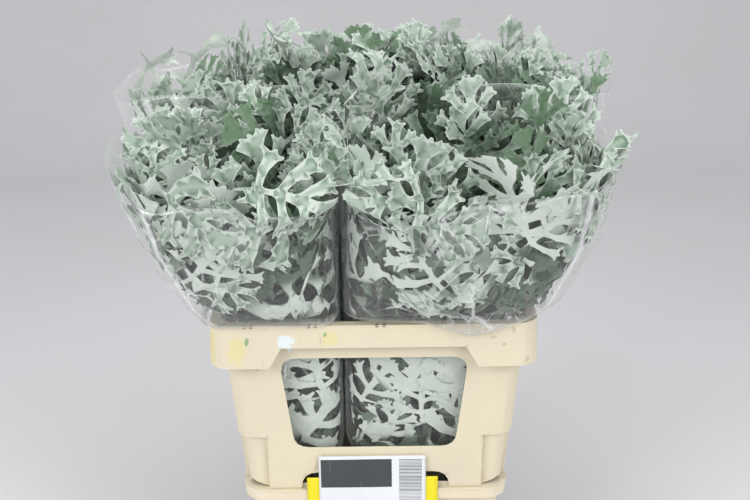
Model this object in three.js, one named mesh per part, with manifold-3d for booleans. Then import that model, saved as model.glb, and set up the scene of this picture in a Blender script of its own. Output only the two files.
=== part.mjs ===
// Cut dusty miller as it is sold: four bunches of leafy stems, each in a clear film sleeve, standing in
// water in a two-part flower container (a bucket with a windowed collar set on its rim).
// Millimetres, +Z up. The origin is the middle of the bucket's underside, and the front faces -Y.
import * as THREE from "three";
import { mergeVertices } from "three/addons/utils/BufferGeometryUtils.js";
import Module from "manifold-3d";

const wasm = await Module();
wasm.setup();

// ---------------------------------------------------------------- driving dimensions

const WALL = 2.5; // container walls
const GAP = 0.3; // between pieces that touch

const RIM_HALF = [205, 154]; // outer half sizes of the collar's rim band
const RIM_Z = 452; // top of the rim
const RIM_RADIUS = 30;
const BAND_DROP = 57; // height of the rim band at the corners
const BAND_DROP_MIDDLE = 30; // and above each window
const BAND_FLARE = 1.5; // how far the band's lower edge stands out past its top
const BAND_HOLLOW_FLARE = 1.6; // the same for its hollow, which is cut from a little further down
const FRONT_BAND_CUT = [130, 114]; // half widths of the cut in the band, at its lower edge and above a window
const SIDE_BAND_CUT = [80, 64];
const RIM_OVERHANG = 12; // band to collar wall, at the top
const DRAFT = 0.078; // how far a wall leans in for each millimetre down
const COLLAR_RADIUS = 24;

const BUCKET_TOP = 205.7; // the rim that the collar stands on
const COLLAR_FOOT = BUCKET_TOP + GAP;
const CORNER_STEP_Z = 285; // below this the collar's corners step in
const CORNER_INSET = 6;
const TONGUE_HALF = [140, 90]; // half widths of the four tongues that reach the bucket
const CORNER_SLOPE = 12 / 32; // of the corners' lower edge, from a tongue outwards
const WINDOW_Z = [269, 401];
const WINDOW_RADIUS = 20;
const FRONT_WINDOW = [105, 118]; // half widths at the bottom and the top
const SIDE_WINDOW = [60, 70];
const HAND_HOLD_HALF = [97, 58]; // half widths in the front and side tongues
const HAND_HOLD_TOP = 230;

const BUCKET_RIM_HALF = [176, 128];
const BUCKET_RIM_DROP = 16;
const BUCKET_RIM_RADIUS = 30;
const BUCKET_BASE_HALF = [152, 102];
const BUCKET_BODY_HALF = [167, 119]; // just under the rim
const BUCKET_LEDGE = 5; // how far the hollow stays back from the body's wall at the rim
const BUCKET_FLOOR = 3;
const RIB_HALF = [130, 78]; // the ribs that keep the collar in place
const RIB_HEIGHT = 6;
const RIB_PLAY = 0.5; // between the ribs and the collar
const WATER_LEVEL = 62;

const STEM_RADIUS = 3.8;
const STEM_TAPER = [1, 1, 1, 0.85, 0.75, 0.45]; // at the points of its centreline
const STEM_FOOT_Z = 6;
const BUNCH_RING = 12.5; // the outer stems' distance from the middle of the tied bunch
const GATHER_Z = 150; // stems stand upright up to here
const HOLE_PLAY = 0.5; // between a stem and its hole in the water
const TIE_Z = 128;
const TIE_PLAY = 0.8;
const TIE_THICKNESS = 2.2;
const TIE_HALF_HEIGHT = 3;
const BLADE = 0.8; // leaf thickness
const FILM = 0.8; // sleeve thickness

const CARD_THICKNESS = 0.8;
const CARD_LEAN = 0.02; // the cards lie against the rim of the bucket and the collar
const CARD_X = -4;
const YELLOW_CARD_SIZE = { half: 86, low: 128, high: 225, off: 0 }; // off: how far it stands off the lean
const WHITE_CARD_SIZE = { half: 70, low: 150, high: 257, off: 1.2 };

const PAST = 5; // how far a form that cuts runs past what it cuts

// ---------------------------------------------------------------- solids

/** A closed three.js geometry as a solid. */
function solidOf(geometry) {
  const g = geometry.index ? geometry.toNonIndexed() : geometry.clone();
  g.deleteAttribute("normal");
  g.deleteAttribute("uv");
  const merged = mergeVertices(g, 1e-3);
  const vertProperties = merged.attributes.position.array;
  const triVerts = new Uint32Array(merged.index.array);
  const make = () => new wasm.Manifold(new wasm.Mesh({ numProp: 3, vertProperties, triVerts }));
  const made = make();
  if (made.volume() >= 0) return made;
  for (let i = 0; i < triVerts.length; i += 3) {
    [triVerts[i + 1], triVerts[i + 2]] = [triVerts[i + 2], triVerts[i + 1]];
  }
  return make();
}

/** A solid as a geometry, for a mesh. */
function geometryOf(solid) {
  const mesh = solid.getMesh();
  const positions = new Float32Array(mesh.numVert * 3);
  for (let i = 0; i < mesh.numVert; i++) {
    positions.set(mesh.vertProperties.subarray(i * mesh.numProp, i * mesh.numProp + 3), i * 3);
  }
  const g = new THREE.BufferGeometry();
  g.setAttribute("position", new THREE.BufferAttribute(positions, 3));
  g.setIndex(new THREE.BufferAttribute(mesh.triVerts, 1));
  g.computeVertexNormals();
  return g;
}

/** A geometry from points and faces of three or more corners, counterclockwise from outside. */
function polyhedron(points, faces) {
  const g = new THREE.BufferGeometry();
  g.setAttribute("position", new THREE.Float32BufferAttribute(points.flat(), 3));
  const fans = faces.map((f) => f.slice(2).map((last, i) => [f[0], f[i + 1], last]));
  g.setIndex(fans.flat(2));
  return g;
}

/** Rings of points of equal count, skinned from the first to the last and closed with flat ends. */
function loft(rings) {
  const count = rings[0].length;
  const faces = [];
  rings.slice(1).forEach((_, r) => {
    for (let i = 0; i < count; i++) {
      const j = (i + 1) % count;
      faces.push([r * count + i, r * count + j, (r + 1) * count + j, (r + 1) * count + i]);
    }
  });
  const last = (rings.length - 1) * count;
  faces.push(Array.from({ length: count }, (_, i) => count - 1 - i));
  faces.push(Array.from({ length: count }, (_, i) => last + i));
  return solidOf(polyhedron(rings.flat(), faces));
}

/** A rounded rectangle's ring of points at height z. */
function roundedRing([halfX, halfY], radius, z, steps = 4) {
  const corners = [[1, 1], [-1, 1], [-1, -1], [1, -1]];
  return corners.flatMap(([sx, sy], corner) =>
    Array.from({ length: steps + 1 }, (_, i) => {
      const angle = (corner + i / steps) * (Math.PI / 2);
      return [
        sx * (halfX - radius) + radius * Math.cos(angle),
        sy * (halfY - radius) + radius * Math.sin(angle),
        z,
      ];
    }),
  );
}

function roundedLoft(levels, radius) {
  return loft(levels.map(([z, half]) => roundedRing(half, radius, z)));
}

const inset = ([x, y], by) => [x - by, y - by];

function box([x0, y0, z0], [x1, y1, z1]) {
  const g = new THREE.BoxGeometry(x1 - x0, y1 - y0, z1 - z0);
  return solidOf(g.translate((x0 + x1) / 2, (y0 + y1) / 2, (z0 + z1) / 2));
}

/** A plate of the outline shape(x, z), extruded through both the front and the back wall or both side walls. */
function throughWalls(shape, axis) {
  const reach = 260;
  const g = new THREE.ExtrudeGeometry(shape, { depth: 2 * reach, bevelEnabled: false, curveSegments: 4 });
  g.translate(0, 0, -reach).rotateX(Math.PI / 2);
  if (axis === "x") g.rotateZ(Math.PI / 2);
  return solidOf(g);
}

// ---------------------------------------------------------------- collar

/** Outer half sizes of the collar's wall at height z. */
const collarHalf = (z) => inset(RIM_HALF, RIM_OVERHANG + DRAFT * (RIM_Z - z));

/** A four-sided opening with rounded corners: half widths at the bottom and top, and its heights. */
function windowShape(bottomHalf, topHalf, z0, z1, r) {
  const shape = new THREE.Shape();
  shape.moveTo(-bottomHalf + r, z0);
  shape.lineTo(bottomHalf - r, z0);
  shape.quadraticCurveTo(bottomHalf, z0, bottomHalf + 1, z0 + r);
  shape.lineTo(topHalf - 1, z1 - r);
  shape.quadraticCurveTo(topHalf, z1, topHalf - r, z1);
  shape.lineTo(-topHalf + r, z1);
  shape.quadraticCurveTo(-topHalf, z1, -topHalf + 1, z1 - r);
  shape.lineTo(-bottomHalf - 1, z0 + r);
  shape.quadraticCurveTo(-bottomHalf, z0, -bottomHalf + r, z0);
  return shape;
}

/** The hand-hold: an arch cut into a tongue's lower edge. */
function handHoldShape(half, top) {
  const shape = new THREE.Shape();
  const r = top - COLLAR_FOOT - 2;
  shape.moveTo(-half, COLLAR_FOOT - PAST);
  shape.lineTo(half, COLLAR_FOOT - PAST);
  shape.lineTo(half, top - r);
  shape.quadraticCurveTo(half, top, half - r, top);
  shape.lineTo(-half + r, top);
  shape.quadraticCurveTo(-half, top, -half, top - r);
  return shape;
}

/** The part of the rim band that is cut away above a window. */
function bandCutShape([lowHalf, highHalf]) {
  const low = RIM_Z - BAND_DROP;
  const shape = new THREE.Shape();
  shape.moveTo(-lowHalf, low - PAST);
  shape.lineTo(lowHalf, low - PAST);
  shape.lineTo(lowHalf, low);
  shape.lineTo(highHalf, RIM_Z - BAND_DROP_MIDDLE);
  shape.lineTo(-highHalf, RIM_Z - BAND_DROP_MIDDLE);
  shape.lineTo(-lowHalf, low);
  return shape;
}

/** What lies under the sloping lower edge of one corner, and outside the tongues. */
function cornerWedge(sx, sy) {
  const [x0, y0] = TONGUE_HALF;
  const reach = 50;
  const climb = CORNER_SLOPE * reach;
  const z = COLLAR_FOOT;
  const under = z - 9;
  const at = (x, y, height) => [sx * x, sy * y, height];
  const points = [
    at(x0, y0, under), at(x0 + reach, y0, under), at(x0 + reach, y0 + reach, under), at(x0, y0 + reach, under),
    at(x0, y0, z), at(x0 + reach, y0, z), at(x0 + reach, y0 + reach, z + climb), at(x0, y0 + reach, z),
  ];
  const faces = [
    [0, 3, 2, 1], [0, 1, 5, 4], [1, 2, 6, 5], [2, 3, 7, 6], [3, 0, 4, 7], [4, 5, 6], [4, 6, 7],
  ];
  return solidOf(polyhedron(points, faces));
}

/** The collar's outer form, or with by = WALL the hollow inside it. */
function collarForm(by) {
  const low = COLLAR_FOOT - (by ? PAST : 0);
  const high = RIM_Z + (by ? PAST : 0);
  const level = (z, extra) => [z, inset(collarHalf(z), by + extra)];
  let form = roundedLoft([level(low, 0), level(high, 0)], COLLAR_RADIUS - by);
  const outside = 300;
  const [x0, y0] = inset(TONGUE_HALF, by);
  for (const sx of [-1, 1]) {
    for (const sy of [-1, 1]) {
      const lowCorner = [Math.min(sx * x0, sx * outside), Math.min(sy * y0, sy * outside), low - PAST];
      const highCorner = [Math.max(sx * x0, sx * outside), Math.max(sy * y0, sy * outside), CORNER_STEP_Z - by];
      form = form.subtract(box(lowCorner, highCorner));
    }
  }
  const core = roundedLoft(
    [level(low, CORNER_INSET), level(CORNER_STEP_Z + 1, CORNER_INSET)],
    COLLAR_RADIUS - CORNER_INSET - by,
  );
  return form.add(core);
}

function makeCollar() {
  const bandLow = RIM_Z - BAND_DROP;
  const band = roundedLoft([[bandLow, inset(RIM_HALF, -BAND_FLARE)], [RIM_Z, RIM_HALF]], RIM_RADIUS);
  const bandHollow = roundedLoft(
    [[bandLow - PAST, inset(RIM_HALF, WALL - BAND_HOLLOW_FLARE)], [RIM_Z - WALL, inset(RIM_HALF, WALL)]],
    RIM_RADIUS - WALL,
  );
  const skirt = band
    .subtract(bandHollow)
    .subtract(throughWalls(bandCutShape(FRONT_BAND_CUT), "y"))
    .subtract(throughWalls(bandCutShape(SIDE_BAND_CUT), "x"));
  let collar = collarForm(0).add(skirt).subtract(collarForm(WALL));
  for (const sx of [-1, 1]) for (const sy of [-1, 1]) collar = collar.subtract(cornerWedge(sx, sy));
  return collar
    .subtract(throughWalls(windowShape(...FRONT_WINDOW, ...WINDOW_Z, WINDOW_RADIUS), "y"))
    .subtract(throughWalls(windowShape(...SIDE_WINDOW, ...WINDOW_Z, WINDOW_RADIUS), "x"))
    .subtract(throughWalls(handHoldShape(HAND_HOLD_HALF[0], HAND_HOLD_TOP), "y"))
    .subtract(throughWalls(handHoldShape(HAND_HOLD_HALF[1], HAND_HOLD_TOP), "x"));
}

// ---------------------------------------------------------------- bucket and water

function makeBucket() {
  const underRim = BUCKET_TOP - BUCKET_RIM_DROP;
  const body = roundedLoft([[0, BUCKET_BASE_HALF], [BUCKET_TOP, BUCKET_BODY_HALF]], COLLAR_RADIUS);
  const rim = roundedLoft(
    [[underRim, inset(BUCKET_RIM_HALF, 1)], [BUCKET_TOP, BUCKET_RIM_HALF]],
    BUCKET_RIM_RADIUS,
  );
  const underCut = roundedLoft(
    [[underRim - 1, inset(BUCKET_RIM_HALF, WALL + 1)], [BUCKET_TOP - WALL, inset(BUCKET_RIM_HALF, WALL)]],
    BUCKET_RIM_RADIUS - WALL,
  );
  const hollowTop = inset(BUCKET_BODY_HALF, WALL + BUCKET_LEDGE);
  const hollow = roundedLoft(
    [[BUCKET_FLOOR, inset(BUCKET_BASE_HALF, WALL)], [BUCKET_TOP + 1, hollowTop]],
    COLLAR_RADIUS - WALL,
  );
  const [ribX, ribY] = inset(collarHalf(COLLAR_FOOT), WALL + RIB_PLAY);
  const ribTop = BUCKET_TOP + RIB_HEIGHT;
  let bucket = rim.subtract(underCut).add(body).subtract(hollow);
  for (const side of [-1, 1]) {
    const y = [side * ribY, side * (ribY - WALL)].sort((a, b) => a - b);
    const x = [side * ribX, side * (ribX - WALL)].sort((a, b) => a - b);
    bucket = bucket
      .add(box([-RIB_HALF[0], y[0], BUCKET_TOP - 1], [RIB_HALF[0], y[1], ribTop]))
      .add(box([x[0], -RIB_HALF[1], BUCKET_TOP - 1], [x[1], RIB_HALF[1], ribTop]));
  }
  return bucket;
}

/** A five-sided ring of a stem. */
function stemRing(x, y, z, radius) {
  return Array.from({ length: 5 }, (_, k) => {
    const angle = (k / 5) * 2 * Math.PI;
    return [x + radius * Math.cos(angle), y + radius * Math.sin(angle), z];
  });
}

function makeWater(stemFeet) {
  const clear = WALL + GAP;
  const slope = (BUCKET_BODY_HALF[0] - BUCKET_LEDGE - BUCKET_BASE_HALF[0]) / (BUCKET_TOP + 1 - BUCKET_FLOOR);
  const low = BUCKET_FLOOR + GAP;
  const atSurface = inset(BUCKET_BASE_HALF, clear - slope * (WATER_LEVEL - low));
  const levels = [[low, inset(BUCKET_BASE_HALF, clear)], [WATER_LEVEL, atSurface]];
  let water = roundedLoft(levels, COLLAR_RADIUS - clear);
  for (const { x, y } of stemFeet) {
    const hole = [-PAST, WATER_LEVEL + PAST].map((z) => stemRing(x, y, z, STEM_RADIUS + HOLE_PLAY));
    water = water.subtract(loft(hole));
  }
  return water;
}

// ---------------------------------------------------------------- bunches and their sleeves

// Each bunch fills a cell of its own: a squarish section that follows the container up to its rim, and
// flares out over it. outX and outY are how far the cell reaches out at each height, away from its neighbours.
const CELL_Z = [150, 262, 452, 461, 482, 560, 700];
const FRONT_Y = [0, 114, 129, 160, 180, 202, 226];
const BACK_Y = [0, 114, 129, 158, 178, 204, 236];
const FRONT_LEFT_X = [0, 165, 182, 208, 238, 280, 322];
const FRONT_RIGHT_X = [0, 165, 182, 208, 236, 274, 296];
const BACK_LEFT_X = [0, 165, 182, 209, 243, 296, 350];
const BACK_RIGHT_X = [0, 165, 182, 209, 241, 290, 326];
const SEAM_Y = 5; // between the front and back bunches
const SEAM_HALF_GAP = 1.2;
const SQUARENESS = [2, 5, 5, 4.4, 3.6, 3.1, 2.8];
const FOOT_RADIUS = 27; // the sleeve's lower end
const OPENING_UP = 90; // above the film's edge the cell doubles its width over this height

const BUNCHES = [
  { name: "front_left", side: [-1, -1], seamX: -40, foot: [-98, -54], outX: FRONT_LEFT_X, outY: FRONT_Y },
  { name: "front_right", side: [1, -1], seamX: -40, foot: [58, -54], outX: FRONT_RIGHT_X, outY: FRONT_Y },
  { name: "back_left", side: [-1, 1], seamX: 16, foot: [-74, 60], outX: BACK_LEFT_X, outY: BACK_Y },
  { name: "back_right", side: [1, 1], seamX: 16, foot: [88, 60], outX: BACK_RIGHT_X, outY: BACK_Y },
];

const lerp = (a, b, t) => a + (b - a) * t;
const clamp01 = (t) => Math.min(1, Math.max(0, t));

/** A value from a table over CELL_Z, straight between its rows and past its ends. */
function atHeight(table, z) {
  let i = 0;
  while (i < CELL_Z.length - 2 && z > CELL_Z[i + 1]) i++;
  return lerp(table[i], table[i + 1], (z - CELL_Z[i]) / (CELL_Z[i + 1] - CELL_Z[i]));
}

/** The cell's section at height z: middle, half sizes and squareness. */
function sectionAt(bunch, z) {
  const seam = [bunch.seamX + bunch.side[0] * SEAM_HALF_GAP, SEAM_Y + bunch.side[1] * SEAM_HALF_GAP];
  const full = Math.max(z, CELL_Z[1]);
  const out = [bunch.side[0] * atHeight(bunch.outX, full), bunch.side[1] * atHeight(bunch.outY, full)];
  const middle = [(seam[0] + out[0]) / 2, (seam[1] + out[1]) / 2];
  const half = [Math.abs(out[0] - seam[0]) / 2, Math.abs(out[1] - seam[1]) / 2];
  const t = clamp01((z - CELL_Z[0]) / (CELL_Z[1] - CELL_Z[0]));
  return {
    cx: lerp(bunch.foot[0], middle[0], t),
    cy: lerp(bunch.foot[1], middle[1], t),
    hx: lerp(FOOT_RADIUS, half[0], t),
    hy: lerp(FOOT_RADIUS, half[1], t),
    n: Math.max(2, atHeight(SQUARENESS, Math.min(z, 700))),
  };
}

/** How far out a point lies in its section: 1 is on the film. */
function reachOf(section, x, y) {
  const u = Math.abs(x - section.cx) / section.hx;
  const v = Math.abs(y - section.cy) / section.hy;
  return Math.pow(Math.pow(u, section.n) + Math.pow(v, section.n), 1 / section.n);
}

/** Height of the film's cut edge in the direction (dx, dy) from the cell's middle. */
function filmTop(bunch, dx, dy) {
  const length = Math.hypot(dx, dy) || 1;
  const outward = Math.max(0, (dy / length) * bunch.side[1]);
  const sideways = Math.max(0, (dx / length) * bunch.side[0]);
  return bunch.side[1] < 0 ? 690 - 66 * outward - 22 * sideways : 712 + 14 * outward - 12 * sideways;
}

/** Moves a point inside the film by margin if it isn't there. Above the film's edge the cell opens up. */
function keepInside(bunch, p, margin) {
  const s = sectionAt(bunch, p.z);
  const reach = reachOf(s, p.x, p.y);
  const above = Math.max(0, p.z - filmTop(bunch, p.x - s.cx, p.y - s.cy));
  const limit = 1 - margin / Math.min(s.hx, s.hy) + above / OPENING_UP;
  if (reach <= limit) return { p, touch: reach / limit };
  const k = limit / reach;
  return { p: new THREE.Vector3(s.cx + (p.x - s.cx) * k, s.cy + (p.y - s.cy) * k, p.z), touch: 1 };
}

/** The film's outward direction near a point. */
function outwardAt(bunch, p) {
  const step = 2;
  const at = (x, y, z) => reachOf(sectionAt(bunch, z), x, y);
  return new THREE.Vector3(
    at(p.x + step, p.y, p.z) - at(p.x - step, p.y, p.z),
    at(p.x, p.y + step, p.z) - at(p.x, p.y - step, p.z),
    at(p.x, p.y, p.z + step) - at(p.x, p.y, p.z - step),
  ).normalize();
}

const SLEEVE_SIDES = 16;

function makeSleeve(bunch) {
  const rows = [...CELL_Z.slice(0, -1), null]; // the last row is the cut edge
  const skin = (thickness) =>
    rows.flatMap((rowZ) =>
      Array.from({ length: SLEEVE_SIDES }, (_, i) => {
        const angle = (i / SLEEVE_SIDES) * 2 * Math.PI + Math.PI / SLEEVE_SIDES;
        const c = Math.cos(angle);
        const d = Math.sin(angle);
        const z = rowZ ?? filmTop(bunch, c, d);
        const s = sectionAt(bunch, z);
        const round = Math.pow(Math.pow(Math.abs(c), s.n) + Math.pow(Math.abs(d), s.n), -1 / s.n);
        return [s.cx + (s.hx - thickness) * c * round, s.cy + (s.hy - thickness) * d * round, z];
      }),
    );
  const points = [...skin(0), ...skin(FILM)];
  const inner = rows.length * SLEEVE_SIDES;
  const last = (rows.length - 1) * SLEEVE_SIDES;
  const faces = [];
  for (let i = 0; i < SLEEVE_SIDES; i++) {
    const j = (i + 1) % SLEEVE_SIDES;
    for (let r = 0; r < last; r += SLEEVE_SIDES) {
      faces.push([r + i, r + j, r + SLEEVE_SIDES + j, r + SLEEVE_SIDES + i]);
      faces.push([inner + r + i, inner + r + SLEEVE_SIDES + i, inner + r + SLEEVE_SIDES + j, inner + r + j]);
    }
    faces.push([i, inner + i, inner + j, j]);
    faces.push([last + i, last + j, inner + last + j, inner + last + i]);
  }
  return solidOf(polyhedron(points, faces));
}

// ---------------------------------------------------------------- leafy stems

/** A repeatable source of numbers from 0 to 1. */
function randomFrom(seed) {
  let state = seed;
  const next = () => {
    state = (state * 16807) % 2147483647;
    return state / 2147483647;
  };
  next();
  next();
  return next;
}

/** Height of the top of the foliage over a place. */
function domeHeight(x, y) {
  const side = Math.pow(Math.abs(x - 15) / 340, 2.2);
  const front = Math.pow(Math.max(0, (70 - y) / 310), 1.35);
  const back = Math.pow(Math.max(0, (y - 70) / 190), 2);
  return 792 - 92 * side - 150 * front - 70 * back;
}

// Where the six stem tips of a bunch stand in its cell, as shares of its half sizes, outward positive.
const TIP_PLACES = [[0.78, 0.5], [0.1, 0.76], [-0.64, 0.5], [-0.6, -0.45], [0.06, -0.2], [0.76, -0.46]];

/** The heading that a stem leans to. */
function leanOf(bunch, index) {
  const [outX, outY] = TIP_PLACES[index];
  return Math.atan2(outY * bunch.side[1], outX * bunch.side[0]);
}

/** The centreline of one stem: upright through the tied bunch, then fanning out to its tip. */
function stemPoints(bunch, index, random) {
  const lean = leanOf(bunch, index);
  const [outX, outY] = TIP_PLACES[index];
  const at = (z, share) => {
    const s = sectionAt(bunch, z);
    const x = s.cx + s.hx * share * outX * bunch.side[0];
    const y = s.cy + s.hy * share * outY * bunch.side[1];
    return new THREE.Vector3(x, y, z);
  };
  const x = bunch.foot[0] + BUNCH_RING * Math.cos(lean);
  const y = bunch.foot[1] + BUNCH_RING * Math.sin(lean);
  const rough = at(690, 1);
  const tipZ = domeHeight(rough.x, rough.y) - 66 - 14 * random();
  return [
    new THREE.Vector3(x, y, STEM_FOOT_Z), new THREE.Vector3(x, y, GATHER_Z),
    at(262, 0.8), at(440, 0.95), at(520, 1), at(tipZ, 1),
  ];
}

/** The point of a stem at a height. */
function onStem(points, z) {
  let i = 0;
  while (i < points.length - 2 && z > points[i + 1].z) i++;
  return points[i].clone().lerp(points[i + 1], (z - points[i].z) / (points[i + 1].z - points[i].z));
}

// Half of a leaf's outline, from the end of its stalk to just short of its tip, as shares of its length:
// along, across. Points at odd places are lobe tips and the others are the hollows between lobes.
const SIDE_LEAF = [
  [0.16, 0.014], [0.31, 0.2], [0.3, 0.03], [0.55, 0.3], [0.48, 0.04], [0.83, 0.27], [0.7, 0.055],
];
const TUFT_LEAF = [[0.2, 0.016], [0.47, 0.24], [0.4, 0.04], [0.85, 0.26], [0.68, 0.055]];
const LEAF_TIP = [1, 0];

// The leaves of a stem from its tip downwards: how far down they grow, as a share of the way to LOWEST_LEAF,
// their heading from the side that the stem leans to, their rise above level, length and outline.
const LEAF_PLAN = [
  { down: 0.005, heading: 0.2, rise: 0.95, length: 92, outline: TUFT_LEAF },
  { down: 0.02, heading: 2.2, rise: 0.55, length: 94, outline: TUFT_LEAF },
  { down: 0.035, heading: -2.1, rise: 0.55, length: 94, outline: TUFT_LEAF },
  { down: 0.12, heading: 0.8, rise: 0.35, length: 122, outline: SIDE_LEAF },
  { down: 0.24, heading: -0.7, rise: 0.4, length: 126, outline: SIDE_LEAF },
  { down: 0.42, heading: 0.6, rise: 0.5, length: 128, outline: SIDE_LEAF },
  { down: 0.64, heading: -0.5, rise: 0.6, length: 124, outline: SIDE_LEAF },
  { down: 0.96, heading: 0.2, rise: 0.8, length: 116, outline: SIDE_LEAF },
];
const LOWEST_LEAF = 240;
const TRIES = 12; // for a place where a leaf grows clear of the others

/** One leaf of the plan, with its own small differences. */
function drawLeaf(bunch, index, points, row, random) {
  const tipZ = points.at(-1).z - 4;
  return {
    z: lerp(tipZ, LOWEST_LEAF, row.down) - 24 * row.down * random(),
    heading: leanOf(bunch, index) + row.heading * (0.5 + random()) + 0.5 * (random() - 0.5),
    rise: row.rise + 0.4 * (random() - 0.5),
    length: row.length * (0.88 + 0.24 * random()),
    twist: 0.6 * (random() - 0.5),
    margin: 4 + 14 * random(),
    outline: row.outline,
  };
}

const LOBE_LIFT = 0.22; // lobes curve up from the midrib by this share of their reach
const LEAF_STEPS = 8;
const UP = new THREE.Vector3(0, 0, 1);

/** The frames along a leaf's midrib. It grows straight, sags a little, and slides up the film it meets. */
function midribOf(bunch, points, leaf) {
  const step = leaf.length / LEAF_STEPS;
  let p = onStem(points, leaf.z);
  let d = new THREE.Vector3(
    Math.cos(leaf.heading) * Math.cos(leaf.rise),
    Math.sin(leaf.heading) * Math.cos(leaf.rise),
    Math.sin(leaf.rise),
  );
  const frames = [];
  for (let i = 0; i <= LEAF_STEPS; i++) {
    const wall = keepInside(bunch, p, leaf.margin);
    const near = clamp01((wall.touch - 0.75) / 0.25);
    const film = outwardAt(bunch, p);
    const free = UP.clone().addScaledVector(d, -UP.dot(d));
    const normal = free.normalize().multiplyScalar(1 - near).addScaledVector(film, -near);
    normal.addScaledVector(d, -normal.dot(d)).normalize();
    normal.applyAxisAngle(d, leaf.twist * (1 - near));
    frames.push({ p: p.clone(), d: d.clone(), normal, across: new THREE.Vector3().crossVectors(d, normal) });
    const ahead = keepInside(bunch, p.clone().addScaledVector(d, step), leaf.margin).p;
    const travelled = ahead.clone().sub(p).normalize();
    travelled.z += near * 0.16 - 0.035;
    d = travelled.normalize();
    p = p.clone().addScaledVector(d, step);
  }
  return frames;
}

/** One leaf as a thin lobed blade on a leaf stalk that starts inside the stem, or at a share of its length. */
function makeBlade(bunch, points, leaf, start = 0) {
  const frames = midribOf(bunch, points, leaf);
  const place = ([along, across], side) => {
    const t = Math.max(along, start) * LEAF_STEPS;
    const i = Math.min(LEAF_STEPS - 1, Math.floor(t));
    const a = frames[i];
    const b = frames[i + 1];
    const f = t - i;
    const p = a.p.clone().lerp(b.p, f);
    const sideways = a.across.clone().lerp(b.across, f);
    const lift = a.normal.clone().lerp(b.normal, f);
    p.addScaledVector(sideways, side * across * leaf.length);
    p.addScaledVector(lift, LOBE_LIFT * across * leaf.length);
    return keepInside(bunch, p, leaf.margin).p;
  };
  const count = leaf.outline.length;
  const tip = 2 * count;
  const root = place([0, 0], 0).toArray();
  const middle = [...leaf.outline.map((o) => place(o, -1)), ...leaf.outline.map((o) => place(o, 1))];
  middle.push(place(LEAF_TIP, 0));
  const faces = [[count - 1, tip - 1, tip]];
  for (let i = 0; i + 2 < count; i += 2) {
    faces.push([i, i + count, i + 2 + count], [i, i + 2 + count, i + 2]);
    faces.push([i, i + 2, i + 1], [i + count, i + 1 + count, i + 2 + count]);
  }
  const normals = middle.map(() => new THREE.Vector3());
  for (const [a, b, c] of faces) {
    const ab = middle[b].clone().sub(middle[a]);
    const n = ab.cross(middle[c].clone().sub(middle[a]));
    for (const v of [a, b, c]) normals[v].add(n);
  }
  const skin = (offset) =>
    middle.map((p, i) => p.clone().addScaledVector(normals[i].clone().normalize(), offset).toArray());
  const under = middle.length;
  const base = 2 * under;
  const edge = [
    ...Array.from({ length: count }, (_, i) => count + i),
    tip,
    ...Array.from({ length: count }, (_, i) => count - 1 - i),
  ];
  const rim = edge.slice(1).map((w, i) => [edge[i], under + edge[i], under + w, w]);
  const stalk = [
    [base, count, 0], [base, under, under + count], [base, 0, under], [base, under + count, count],
  ];
  const bottom = faces.map(([a, b, c]) => [under + a, under + c, under + b]);
  const corners = [...skin(BLADE / 2), ...skin(-BLADE / 2), root];
  return solidOf(polyhedron(corners, [...faces, ...bottom, ...rim, ...stalk]));
}

function makeStem(points) {
  return loft(points.map((p, i) => stemRing(p.x, p.y, p.z, STEM_RADIUS * STEM_TAPER[i])));
}

function boxesMeet(a, b) {
  return [0, 1, 2].every((k) => a.min[k] <= b.max[k] && b.min[k] <= a.max[k]);
}

/** Whether a solid shares space with any of the others. */
function meetsAny(solid, others) {
  const mine = solid.boundingBox();
  return others.some((other) => boxesMeet(mine, other.box) && solid.intersect(other.solid).volume() > 1e-4);
}

/** All the leafy stems. A leaf that would cross another leaf, stem or sleeve is drawn again, or left off. */
function makeFoliage(sleeves) {
  const withBox = (solid) => ({ solid, box: solid.boundingBox() });
  const stems = BUNCHES.flatMap((bunch, b) =>
    TIP_PLACES.map((_, index) => {
      const random = randomFrom(1000 * b + 100 * index + 17);
      const points = stemPoints(bunch, index, random);
      const name = `stem_${bunch.name}_${index + 1}`;
      const bare = makeStem(points);
      return { name, bunch, index, random, points, node: bare, ...withBox(bare) };
    }),
  );
  const films = sleeves.map(withBox);
  const leaves = [];
  for (const row of LEAF_PLAN) {
    for (const stem of stems) {
      const otherStems = stems.filter((s) => s !== stem);
      const strangers = [...films, ...otherStems, ...leaves.filter((l) => l.stem !== stem)];
      for (let attempt = 0; attempt < TRIES; attempt++) {
        const leaf = drawLeaf(stem.bunch, stem.index, stem.points, row, stem.random);
        const blade = makeBlade(stem.bunch, stem.points, leaf);
        const beyondStalk = makeBlade(stem.bunch, stem.points, leaf, 0.1);
        const siblings = leaves.filter((l) => l.stem === stem);
        if (meetsAny(blade, strangers) || meetsAny(beyondStalk, [stem, ...siblings])) continue;
        leaves.push({ stem, ...withBox(blade) });
        stem.node = stem.node.add(blade);
        break;
      }
    }
  }
  return stems;
}

// ---------------------------------------------------------------- ties and cards

function makeTie(bunch) {
  const inner = BUNCH_RING + STEM_RADIUS + TIE_PLAY;
  const outer = inner + TIE_THICKNESS;
  const h = TIE_HALF_HEIGHT;
  const profile = [[inner, -h], [outer, -h], [outer, h], [inner, h], [inner, -h]];
  const ring = new THREE.LatheGeometry(profile.map(([r, z]) => new THREE.Vector2(r, z)), 12);
  return solidOf(ring.rotateX(Math.PI / 2).translate(bunch.foot[0], bunch.foot[1], TIE_Z));
}

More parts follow.
